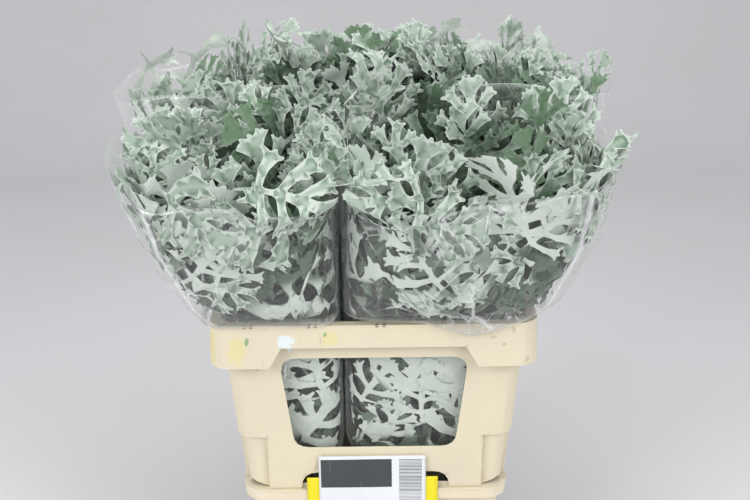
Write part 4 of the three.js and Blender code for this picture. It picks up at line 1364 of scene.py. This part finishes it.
def make_film(name, node, bunch, seed, material):
    p, arc, outside, above = film_points(bunch, seed)
    rows, columns, _ = p.shape
    z = p[..., 2].copy()
    outward = outward_at(bunch, p.reshape(-1, 3)).reshape(p.shape)
    folds = sum(height * fold_pattern(arc, z, seed + k, length, spread)
                for k, (length, spread, height) in enumerate(FOLDS))
    free = ROOM_AT_SEAM + outside * (ROOM_IN_CONTAINER - ROOM_AT_SEAM + above * ROOM_ABOVE)
    p += outward * ((0.5 + 0.5 * np.clip(folds / 5, -1, 1)) * free)[..., None]
    in_front = bunch["side"][1] < 0
    fold_highlight = bend_over_rim(p, z, arc, outside, bunch, seed) if in_front else np.zeros(z.shape)
    obj = new_object(name, p.reshape(-1, 3) * MM, grid_faces(rows, columns, columns_close=True))
    weld = columns // 4 + int(columns * BAG_SEAM[bunch["side"][0]])
    from_weld = np.abs(np.arange(columns) - weld % columns)[None] + np.zeros((rows, 1))
    # pale lines: the welded seam, and painted highlights along the fold over the rim and the cut edge
    seam_and_highlight_lines = np.maximum(np.clip(1 - from_weld, 0, 1), fold_highlight)
    seam_and_highlight_lines[-1] = CUT_EDGE_HIGHLIGHT
    write_attribute(obj.data, "seam", seam_and_highlight_lines)
    # where painted crease highlights may show: mostly on free film over the rim, a little everywhere
    write_attribute(obj.data, "crumple", np.clip(above * outside + 0.25, 0, 1))
    thicken(obj, FILM_THICKNESS, 1.0)
    return finish_piece(obj, node, material)


# %% [markdown]
# The film's material is mostly see-through. Its creases are painted highlights: thin crisp white lines,
# much less clear than the rest. Seen at a slant there is more film in the way of each ray, so the veil gets
# thicker: Layer Weight gives that.

# %% Film material
def make_film_material():
    material, t, shader = new_material("clear film", 0.16, Metallic=0.3, IOR=1.5,
                                       Base_Color=(0.95, 0.97, 0.97, 1))
    point = object_point(t)
    warp = t.node("ShaderNodeTexNoise", {"Vector": point, "Scale": 9.0, "Detail": 2.0}).outputs["Color"]
    bent = t.vector("ADD", point, t.scaled(warp, 0.05))
    tall = t.vector("MULTIPLY", bent, t.xyz(1.0, 1.0, 0.28))
    patches = ramp(t, noise_value(t, point, 7.5, 2.0), 0.50, 0.66)
    edges = cell_edges(t, bent, 30.0)
    # painted highlights: thin white lines along crumpled creases and long folds, and along the seam, the fold
    # over the rim and the cut edge
    crumple = fall(t, edges, 0.0, 0.045)
    strands = cell_edges(t, tall, 17.0)
    long_fold_highlights = t.times(fall(t, strands, 0.0, 0.028), ramp(t, noise_value(t, point, 5.0, 2.0), 0.5, 0.62))
    crease_highlight = t.times(crumple, t.times(patches, attribute_value(t, "crumple")))
    crease_highlight = t.math("MAXIMUM", crease_highlight, long_fold_highlights)
    broken = ramp(t, noise_value(t, point, 60.0), 0.38, 0.58)
    crease_highlight = t.math("MAXIMUM", t.times(crease_highlight, broken), t.times(attribute_value(t, "seam"), 0.75))
    veil = ramp(t, noise_value(t, tall, 11.0, 4.0), 0.35, 0.8)
    slant = t.math("POWER", t.node("ShaderNodeLayerWeight", {"Blend": 0.35}).outputs["Facing"], 2.6)
    alpha = t.plus(t.times(crease_highlight, 0.62), t.math("MULTIPLY_ADD", veil, 0.045, 0.02))
    alpha = t.out("ShaderNodeMath", {0: alpha, 1: t.times(slant, 0.42)}, operation="ADD", use_clamp=True)
    relief = t.plus(t.times(edges, 1.6), t.plus(strands, t.times(noise_value(t, tall, 45.0), 0.5)))
    wire_up(t, shader, (relief, 0.55, 0.004), Alpha=alpha)
    return material


film_material = make_film_material()
films = []
for k, (name, bunch) in enumerate(BUNCHES.items()):
    films.append(make_film(f"film_sleeve_{name}", f"sleeve_{name}", bunch, 11 + 7 * k, film_material))
scene.cycles.transparent_max_bounces = 24  # a ray may pass many layers of film before it meets a leaf
print("films:", [triangles(o) for o in films])

# %% [markdown]
# ## Moulded container
#
# The collar and the bucket keep the shapes of their CAD solids. Moulded plastic has no razor edges, though:
# its edges are rounded, they wear where hands and trolleys rub them, and the inner corners are darkened with
# grime and painted shade.
# So each solid is copied, its edges get a small bevel, and its surface is divided finely enough to carry
# two numbers at each point: how far it is to the nearest outer edge, and to the nearest inner corner. The
# material reads both.

# %% Rounded copies of the CAD solids
EDGE_ROUNDING = 0.9
FACE_SIZE = 26
SHARP_ANGLE = math.radians(28)  # less than this is a facet of a round corner
FLAT_ANGLE = math.radians(0.5)  # and less than this is one flat face
WEAR_REACH = 14  # distances to edges are kept up to here
POINTS_AT_ONCE = 2000


def cad_form(node):
    """The CAD solid as a bmesh with whole flat faces."""
    form = bmesh.new()
    form.from_mesh(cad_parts[node].data)
    bmesh.ops.remove_doubles(form, verts=form.verts, dist=0.01 * MM)
    bmesh.ops.dissolve_limit(form, angle_limit=FLAT_ANGLE, verts=form.verts, edges=form.edges)
    return form


def sharp_edges(form, outer):
    """Start and end points, in mm, of the form's outer edges or of its inner corners."""
    sharp = [e for e in form.edges if e.calc_face_angle() > SHARP_ANGLE]
    ends = [[v.co for v in e.verts] for e in sharp if (e.calc_face_angle_signed() > 0) == outer]
    return np.array(ends).transpose(1, 0, 2) / MM


def divide_faces(mesh, size):
    """Splits long edges until every face is about as small as size."""
    form = bmesh.new()
    form.from_mesh(mesh)
    bmesh.ops.triangulate(form, faces=form.faces)
    while long_edges := [e for e in form.edges if e.calc_length() > size * MM]:
        bmesh.ops.subdivide_edges(form, edges=long_edges, cuts=1)
        bmesh.ops.triangulate(form, faces=[f for f in form.faces if len(f.verts) > 3])
    form.to_mesh(mesh)
    form.free()


def mark_distance(mesh, label, segments):
    """Writes each point's distance to the nearest segment as an attribute, in mm."""
    points = np.array([v.co for v in mesh.vertices]) / MM
    starts = range(0, len(points), POINTS_AT_ONCE)
    away = [segments_distance(points[i:i + POINTS_AT_ONCE], *segments) for i in starts]
    write_attribute(mesh, label, np.minimum(np.concatenate(away), WEAR_REACH))


def make_moulding(name, node, material):
    """A copy of a CAD solid with rounded edges, ready for the worn plastic."""
    form = cad_form(node)
    outer, inner = sharp_edges(form, True), sharp_edges(form, False)
    mesh = bpy.data.meshes.new(name)
    form.to_mesh(mesh)
    form.free()
    obj = add_object(name, mesh)
    rounding = obj.modifiers.new("rounded edges", "BEVEL")
    rounding.width = EDGE_ROUNDING * MM
    rounding.segments = 2
    rounding.limit_method = "ANGLE"
    rounding.angle_limit = SHARP_ANGLE
    rounding.use_clamp_overlap = False
    apply_modifiers(obj)
    divide_faces(obj.data, FACE_SIZE)
    obj.data.shade_smooth()
    obj.modifiers.new("flat faces stay flat", "WEIGHTED_NORMAL").weight = 90
    apply_modifiers(obj)
    mark_distance(obj.data, "to_edge", outer)
    mark_distance(obj.data, "to_corner", inner)
    return finish_piece(obj, node, material)


# %% [markdown]
# Two effects are used again and again, so each is a node group. "stain" gives the mask of one ragged spot
# at a place. "handling" gives the masks that years of use leave on anything: soft grime, fine scratches and
# grain.

# %% Node groups for stains and handling
STAIN_RAGGEDNESS = 0.5
STAIN_GRAIN = 140.0
SCRATCH_SCALE = 26.0


def shader_group(name, inputs, outputs):
    """An empty shader node group with named float and vector inputs and named float outputs."""
    tree = bpy.data.node_groups.new(name, "ShaderNodeTree")
    for label, default in inputs.items():
        kind = "NodeSocketFloat" if isinstance(default, float) else "NodeSocketVector"
        tree.interface.new_socket(label, in_out="INPUT", socket_type=kind).default_value = default
    for label in outputs:
        tree.interface.new_socket(label, in_out="OUTPUT", socket_type="NodeSocketFloat")
    t = NodeTree(tree)
    return tree, t, t.node("NodeGroupInput").outputs


def build_stain_group():
    inputs = {"Point": (0, 0, 0), "Centre": (0, 0, 0), "Size": (0.01, 0.01, 0.01),
              "Raggedness": STAIN_RAGGEDNESS, "Grain scale": STAIN_GRAIN}
    tree, t, given = shader_group("stain", inputs, ["Mask"])
    away = t.vector("DIVIDE", t.vector("SUBTRACT", given["Point"], given["Centre"]), given["Size"])
    length = t.node("ShaderNodeVectorMath", {0: away}, operation="LENGTH").outputs["Value"]
    grain = noise_value(t, given["Point"], given["Grain scale"], 4.0, 0.65)
    wobble = t.times(t.minus(grain, 0.5), t.times(given["Raggedness"], 4.0))
    t.node("NodeGroupOutput", {"Mask": fall(t, t.plus(length, wobble), 0.6, 1.0)})
    return tree


def build_handling_group():
    inputs = {"Point": (0, 0, 0), "Scratch scale": SCRATCH_SCALE}
    tree, t, given = shader_group("handling", inputs, ["Grime", "Scratches", "Grain"])
    point = given["Point"]
    grime = ramp(t, noise_value(t, point, 9.0, 6.0, 0.62), 0.46, 0.78)
    tall = t.vector("MULTIPLY", point, t.xyz(1.0, 1.0, 0.16))
    line = fall(t, cell_edges(t, tall, given["Scratch scale"]), 0.0, 0.02)
    scratches = t.times(line, ramp(t, noise_value(t, point, 30.0, 2.0), 0.60, 0.68))
    grain = noise_value(t, point, 900.0, 2.0)
    t.node("NodeGroupOutput", {"Grime": grime, "Scratches": scratches, "Grain": grain})
    return tree


stain_group = build_stain_group()
handling_group = build_handling_group()


def stain_mask(t, point, centre, size, raggedness):
    """One ragged spot: its centre and half sizes in mm."""
    inputs = {"Point": point, "Centre": [v * MM for v in centre], "Size": [v * MM for v in size],
              "Raggedness": raggedness, "Grain scale": STAIN_GRAIN}
    return t.node("ShaderNodeGroup", inputs, node_tree=stain_group).outputs["Mask"]


def handling(t, point, scratch_scale=SCRATCH_SCALE):
    """Masks of grime, scratches and grain."""
    inputs = {"Point": point, "Scratch scale": scratch_scale}
    return t.node("ShaderNodeGroup", inputs, node_tree=handling_group).outputs[:3]


# %% [markdown]
# The container is cream polypropylene that has been used many times. Its marks are named and placed one by
# one: soft yellow stains, a white paint spot, some green from crushed leaves, brown specks along the rim.
# Over them come wear on the outer edges, and grime with painted shade in the inner corners.

# %% Container material
FRONT = -154  # y of the rim band's front
# colour, strength and raggedness of each mark, and its spots as centres and half sizes in mm
YELLOW_STAINS = (0.80, 0.70, 0.28), 0.55, 0.35, [
    ((-168, FRONT, 420), (14, 26, 22)), ((-53, FRONT, 436), (13, 26, 11)),
    ((-201, -140, 420), (6, 24, 30)), ((120, FRONT, 300), (16, 26, 10))]
WHITE_PAINT = (0.78, 0.88, 0.90), 0.95, 0.55, [
    ((-109, FRONT, 431), (11, 20, 11)), ((-106, FRONT, 415), (5, 20, 8))]
PAINT_EDGE = (0.42, 0.70, 0.62), 0.60, 0.60, [((-113, FRONT, 417), (6, 20, 5))]
DARK_GREEN = (0.13, 0.36, 0.16), 0.75, 0.80, [
    ((-156, FRONT, 433), (3, 16, 6)), ((-60, FRONT, 440), (2, 16, 3))]
LEAF_GREEN = (0.30, 0.62, 0.06), 0.85, 0.60, [
    ((-141, -146, 389), (8, 16, 3)), ((-148, -146, 384), (3, 16, 4))]
BROWN_SPECKS = (0.30, 0.22, 0.12), 0.30, 0.95, [
    ((148, FRONT, 434), (5, 16, 3)), ((160, FRONT, 425), (4, 16, 3)),
    ((172, FRONT, 443), (3, 16, 5)), ((190, -146, 403), (3, 16, 4))]
RIM_CHIPS = (0.16, 0.08, 0.04), 0.85, 0.45, [
    ((x, -152, RIM_TOP), (3.2, 5, 4)) for x in (-158, -150, -79, -71, 4, 13)]
CONTAINER_MARKS = [YELLOW_STAINS, WHITE_PAINT, PAINT_EDGE, DARK_GREEN, LEAF_GREEN, BROWN_SPECKS, RIM_CHIPS]


def make_container_material():
    material, t, shader = new_material("cream container plastic", IOR=1.49, Subsurface_Weight=0.05,
                                       Subsurface_Radius=(0.004, 0.003, 0.002))
    point = object_point(t)
    grime, scratches, grain = handling(t, point)
    to_edge, to_corner = attribute_value(t, "to_edge"), attribute_value(t, "to_corner")
    z = t.node("ShaderNodeSeparateXYZ", {0: point}).outputs[2]
    broad = noise_value(t, point, 5.0)
    fine = noise_value(t, point, 75.0, 5.0, 0.6)

    color = blend_colors(t, ramp(t, broad, 0.3, 0.7), (0.790, 0.715, 0.520), (0.760, 0.690, 0.525))
    bucket_share = fall(t, z, 0.200, 0.206)
    color = blend_colors(t, bucket_share, color, (0.835, 0.735, 0.545))
    color = tint(t, color, grime, 0.30, (0.66, 0.585, 0.42))
    for tone, strength, raggedness, spots in CONTAINER_MARKS:
        masks = [stain_mask(t, point, centre, size, raggedness) for centre, size in spots]
        mask = masks[0]
        for spot in masks[1:]:
            mask = t.math("MAXIMUM", mask, spot)
        color = tint(t, color, mask, strength, tone)

    # grime and painted shade in inner corners, wear and chips on outer edges
    corner_grime_and_shade = t.times(fall(t, to_corner, 0.0, 5.0), ramp(t, fine, 0.35, 0.65))
    color = tint(t, color, corner_grime_and_shade, 0.45, (0.42, 0.33, 0.21))
    near_edge = fall(t, to_edge, 0.3, 1.6)
    worn = t.times(near_edge, ramp(t, fine, 0.42, 0.60))
    color = tint(t, color, worn, 0.45, (0.90, 0.86, 0.74))
    chipped = t.times(near_edge, ramp(t, noise_value(t, point, 160.0), 0.66, 0.72))
    color = tint(t, color, chipped, 0.55, (0.44, 0.34, 0.22))
    color = tint(t, color, scratches, 0.45, (0.52, 0.45, 0.32))

    rough = t.plus(t.math("MULTIPLY_ADD", fine, 0.18, 0.36), t.times(t.math("MAXIMUM", grime, worn), 0.12))
    height = t.plus(t.times(grain, 0.25), t.times(scratches, -0.8))
    height = t.plus(height, t.times(noise_value(t, point, 14.0, 1.0), 3.0))
    wire_up(t, shader, (height, 0.35, 0.0005), Base_Color=color, Roughness=rough)
    return material


container_material = make_container_material()
collar = make_moulding("collar_moulding", "collar", container_material)
bucket = make_moulding("bucket_moulding", "bucket", container_material)
print("container triangles:", triangles(collar), triangles(bucket))

# %% [markdown]
# ## Cards
#
# Two cards hang in front of the container. Card is never quite flat: the lower corners lift a little and
# the top bows. Each card is a grid bent by a formula and given its thickness. The white one carries a bare
# dark field and a column of bars. The bars repeat, so Geometry Nodes lays them out: one thin printed strip
# for each point of a line, each with a height of its own.

# %% Card sheets
CARD_Y = -128.4  # the back of the cards, against the bucket's rim
CARD_Z = 205.7
CARD_LEAN = 0.02
CARD_X = -4
CARD_THICKNESS = 0.45
INK = 0.05  # thickness of what is printed
YELLOW_CARD = dict(half=86, low=128, high=225, off=0.2, bow=0.3)
WHITE_CARD = dict(half=70, low=150, high=257, off=1.5, bow=1.0)
DARK_FIELD = dict(left=-71.5, right=21.5, low=211, high=252)
BARS = dict(left=31, right=61, low=168, high=254)
BAR_PITCH = 2.1
BAR_HEIGHTS = (0.25, 0.75)  # of the thinnest and of the thickest bar, in pitches


def card_front(card, x, z):
    """The y of a card's front at places on it: leant back, with lifted lower corners and a bowed top."""
    u, v = (x - CARD_X) / card["half"], (z - card["low"]) / (card["high"] - card["low"])
    bow = 1.3 * np.abs(u) ** 3 * (1 - v) ** 2 + 2.8 * np.maximum(0, v - 0.75) ** 2
    bow = bow + 0.25 * (1 + np.sin(3 * u + 4 * v))
    return CARD_Y - card["off"] - CARD_THICKNESS + CARD_LEAN * (z - CARD_Z) - card["bow"] * bow


def sheet_on_card(name, card, area, thickness, outwards, columns=28, rows=20):
    """A thin closed sheet that follows a card's front over an area of it."""
    x, z = np.meshgrid(np.linspace(area["left"], area["right"], columns + 1),
                       np.linspace(area["low"], area["high"], rows + 1))
    points = np.stack([x, card_front(card, x, z) - outwards, z], -1).reshape(-1, 3)
    return thicken(new_object(name, points * MM, grid_faces(*x.shape)), thickness, -1)


# %% A column of bars
def build_bar_tree():
    t, given = geometry_tree("column of bars", {
        "Count": ("NodeSocketInt", 30),
        "Pitch": ("NodeSocketFloat", 2.0 * MM),
        "Width": ("NodeSocketFloat", 30.0 * MM),
        "Thinnest": ("NodeSocketFloat", 0.5 * MM),
        "Thickest": ("NodeSocketFloat", 1.5 * MM),
        "Ink": ("NodeSocketFloat", INK * MM),
        "Seed": ("NodeSocketInt", 4),
        "Material": ("NodeSocketMaterial", None),
    })
    step = t.xyz(0.0, 0.0, given["Pitch"])
    places = t.out("GeometryNodeMeshLine", {"Count": given["Count"], "Offset": step})
    unit_bar = t.out("GeometryNodeMeshCube", {"Size": (1, 1, 1), "Vertices X": 9})
    height = t.node("FunctionNodeRandomValue", data_type="FLOAT")
    for label, source in (("Min", "Thinnest"), ("Max", "Thickest"), ("Seed", "Seed")):
        socket = next(s for s in height.inputs if s.name == label and s.enabled)
        t.tree.links.new(given[source], socket)
    random_height = next(s for s in height.outputs if s.enabled)
    size = t.xyz(given["Width"], given["Ink"], random_height)
    bars = t.out("GeometryNodeInstanceOnPoints", {"Points": places, "Instance": unit_bar, "Scale": size})
    bars = t.out("GeometryNodeRealizeInstances", {"Geometry": bars})
    return finish_tree(t, bars, given["Material"])


def make_bars(name, card, area, pitch, material):
    obj = new_object(name, [(0, 0, 0)])
    thinnest, thickest = (share * pitch * MM for share in BAR_HEIGHTS)
    grow(obj, build_bar_tree(), {
        "Count": int((area["high"] - area["low"]) / pitch), "Pitch": pitch * MM,
        "Width": (area["right"] - area["left"]) * MM,
        "Thinnest": thinnest, "Thickest": thickest, "Material": material})
    middle = (area["left"] + area["right"]) / 2
    for v in obj.data.vertices:  # from the column's own place to the card's bent front
        x, z = v.co.x / MM + middle, v.co.z / MM + area["low"] + pitch / 2
        v.co = Vector((x, card_front(card, x, z) - INK / 2 + v.co.y / MM, z)) * MM
    obj.data.update()
    return obj


# %% Card materials
def make_card_material(name, paper, roughness, streaks=0.0):
    """Printed card: a faint grain, soft dirt, and for a printed field, pale lines where ink was missed."""
    material, t, shader = new_material(name, IOR=1.45)
    point = object_point(t)
    grime, scratches, grain = handling(t, point, 40.0)
    color = tint(t, paper, grime, 0.45, [0.86 * c for c in paper])
    color = tint(t, color, grain, 0.10, [0.75 * c for c in paper])
    column = t.xyz(t.node("ShaderNodeSeparateXYZ", {0: point}).outputs[0])
    missed = ramp(t, noise_value(t, column, 420.0, 1.0), 0.72, 0.76)
    color = tint(t, color, missed, streaks, (0.60, 0.62, 0.62))
    color = tint(t, color, scratches, 0.30, (0.55, 0.55, 0.53))
    rough = t.math("MULTIPLY_ADD", grime, 0.12, roughness)
    wire_up(t, shader, (grain, 0.2, 0.0002), Base_Color=color, Roughness=rough)
    return material


yellow_paper = make_card_material("yellow card", (0.93, 0.80, 0.02), 0.52)
white_paper = make_card_material("white card", (0.86, 0.88, 0.91), 0.42)
field_ink = make_card_material("dark printed field", (0.062, 0.070, 0.072), 0.38, streaks=0.35)
bar_ink = make_card_material("printed bars", (0.17, 0.18, 0.19), 0.45)


def whole_card(name, card, node, material):
    area = dict(left=CARD_X - card["half"], right=CARD_X + card["half"], low=card["low"], high=card["high"])
    return finish_piece(sheet_on_card(name, card, area, CARD_THICKNESS, 0), node, material)


yellow_card = whole_card("yellow_card_sheet", YELLOW_CARD, "card_yellow", yellow_paper)
white_card = whole_card("white_card_sheet", WHITE_CARD, "card_white", white_paper)
field = sheet_on_card("card_dark_field", WHITE_CARD, DARK_FIELD, INK, INK + 0.02)
finish_piece(field, material=field_ink)
bars = make_bars("card_bars", WHITE_CARD, BARS, BAR_PITCH, bar_ink)
finish_piece(bars, material=bar_ink)
print("card triangles:", [triangles(o) for o in (yellow_card, white_card, field, bars)])

# %% [markdown]
# ## Ties and water
#
# A wide rubber band holds each bunch under its sleeve. It is a ring with a rounded section that wanders up
# and down a little, because nobody puts a band on level. The water keeps its CAD solid and only gets a
# material.

# %% Rubber bands
BAND_STEPS = 72
BAND_SECTION = 10
BAND_SQUARENESS = 4
BAND_THICKNESS = 2.0
BAND_WOBBLE = 0.1  # in and out


def make_band(bunch_name, seed, material):
    """A rubber band in the place of its CAD ring."""
    low, high = (np.array(corner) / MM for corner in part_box(f"tie_{bunch_name}"))
    middle, half = (low + high) / 2, (high - low) / 2
    around = np.linspace(0, math.tau, BAND_SECTION, endpoint=False)[:, None]
    turn = np.linspace(0, math.tau, BAND_STEPS, endpoint=False)[None]
    u, v = squared(np.cos(around), BAND_SQUARENESS), squared(np.sin(around), BAND_SQUARENESS)
    wobble = BAND_WOBBLE * np.sin(5 * turn + seed)
    radius = half[0] - BAND_THICKNESS / 2 - BAND_WOBBLE + BAND_THICKNESS / 2 * u + wobble
    wander = 0.4 * np.sin(2 * turn + seed) + 0.1 * np.sin(7 * turn)
    z = middle[2] + (0.86 * half[2] - 0.5) * v + wander
    points = np.stack([middle[0] + radius * np.cos(turn), middle[1] + radius * np.sin(turn), z], -1)
    faces = grid_faces(BAND_SECTION, BAND_STEPS, rows_close=True, columns_close=True)
    obj = new_object(f"rubber_band_{bunch_name}", points.reshape(-1, 3) * MM, faces)
    return finish_piece(obj, f"tie_{bunch_name}", material)


def make_rubber_material():
    material, t, shader = new_material("rubber band", 0.55, Subsurface_Weight=0.15,
                                       Subsurface_Radius=(0.003, 0.002, 0.001))
    point = object_point(t)
    grime, _, grain = handling(t, point)
    flat = t.vector("MULTIPLY", point, t.xyz(0.1, 0.1, 4.0))
    lines = noise_value(t, flat, 300.0, 2.0)
    color = blend_colors(t, lines, (0.50, 0.30, 0.13), (0.62, 0.40, 0.19))
    color = tint(t, color, grime, 0.4, (0.28, 0.20, 0.12))
    wire_up(t, shader, (t.plus(lines, t.times(grain, 0.4)), 0.4, 0.0003), Base_Color=color)
    return material


rubber_material = make_rubber_material()
bands = [make_band(name, 3 + k, rubber_material) for k, name in enumerate(BUNCHES)]
print("rubber bands:", len(bands), "triangles each:", triangles(bands[0]))


# %% Water
def make_water_material():
    """Vase water: clear, a little green, with a faint ripple and some floating dust."""
    material, t, shader = new_material("still water", IOR=1.33, Transmission_Weight=0.85)
    point = object_point(t)
    z = t.node("ShaderNodeSeparateXYZ", {0: point}).outputs[2]
    color = blend_colors(t, ramp(t, z, 0.0, 0.062), (0.42, 0.52, 0.40), (0.74, 0.83, 0.77))
    dust = ramp(t, noise_value(t, point, 260.0), 0.66, 0.72)
    color = tint(t, color, dust, 0.5, (0.30, 0.32, 0.20))
    ripple = noise_value(t, point, 18.0, 1.0)
    rough = t.math("MULTIPLY_ADD", dust, 0.4, 0.03)
    wire_up(t, shader, (ripple, 0.15, 0.001), Base_Color=color, Roughness=rough)
    return material


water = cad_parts["water"]
water.data.materials.clear()
water.data.materials.append(make_water_material())
print("water:", len(water.data.materials), "material")


# %% Floor material
def make_floor_material():
    """Matt pale studio board, a shade darker in places where it has been walked on."""
    material, t, shader = new_material("pale studio board", 0.85, Specular_IOR_Level=0.15)
    point = object_point(t)
    cloud = noise_value(t, point, 1.6, 4.0)
    grain = noise_value(t, point, 180.0)
    color = blend_colors(t, ramp(t, cloud, 0.35, 0.7), (0.755, 0.75, 0.765), (0.73, 0.725, 0.735))
    color = tint(t, color, grain, 0.06, (0.45, 0.45, 0.45))
    wire_up(t, shader, (grain, 0.1, 0.0005), Base_Color=color)
    return material


studio.data.materials.append(make_floor_material())
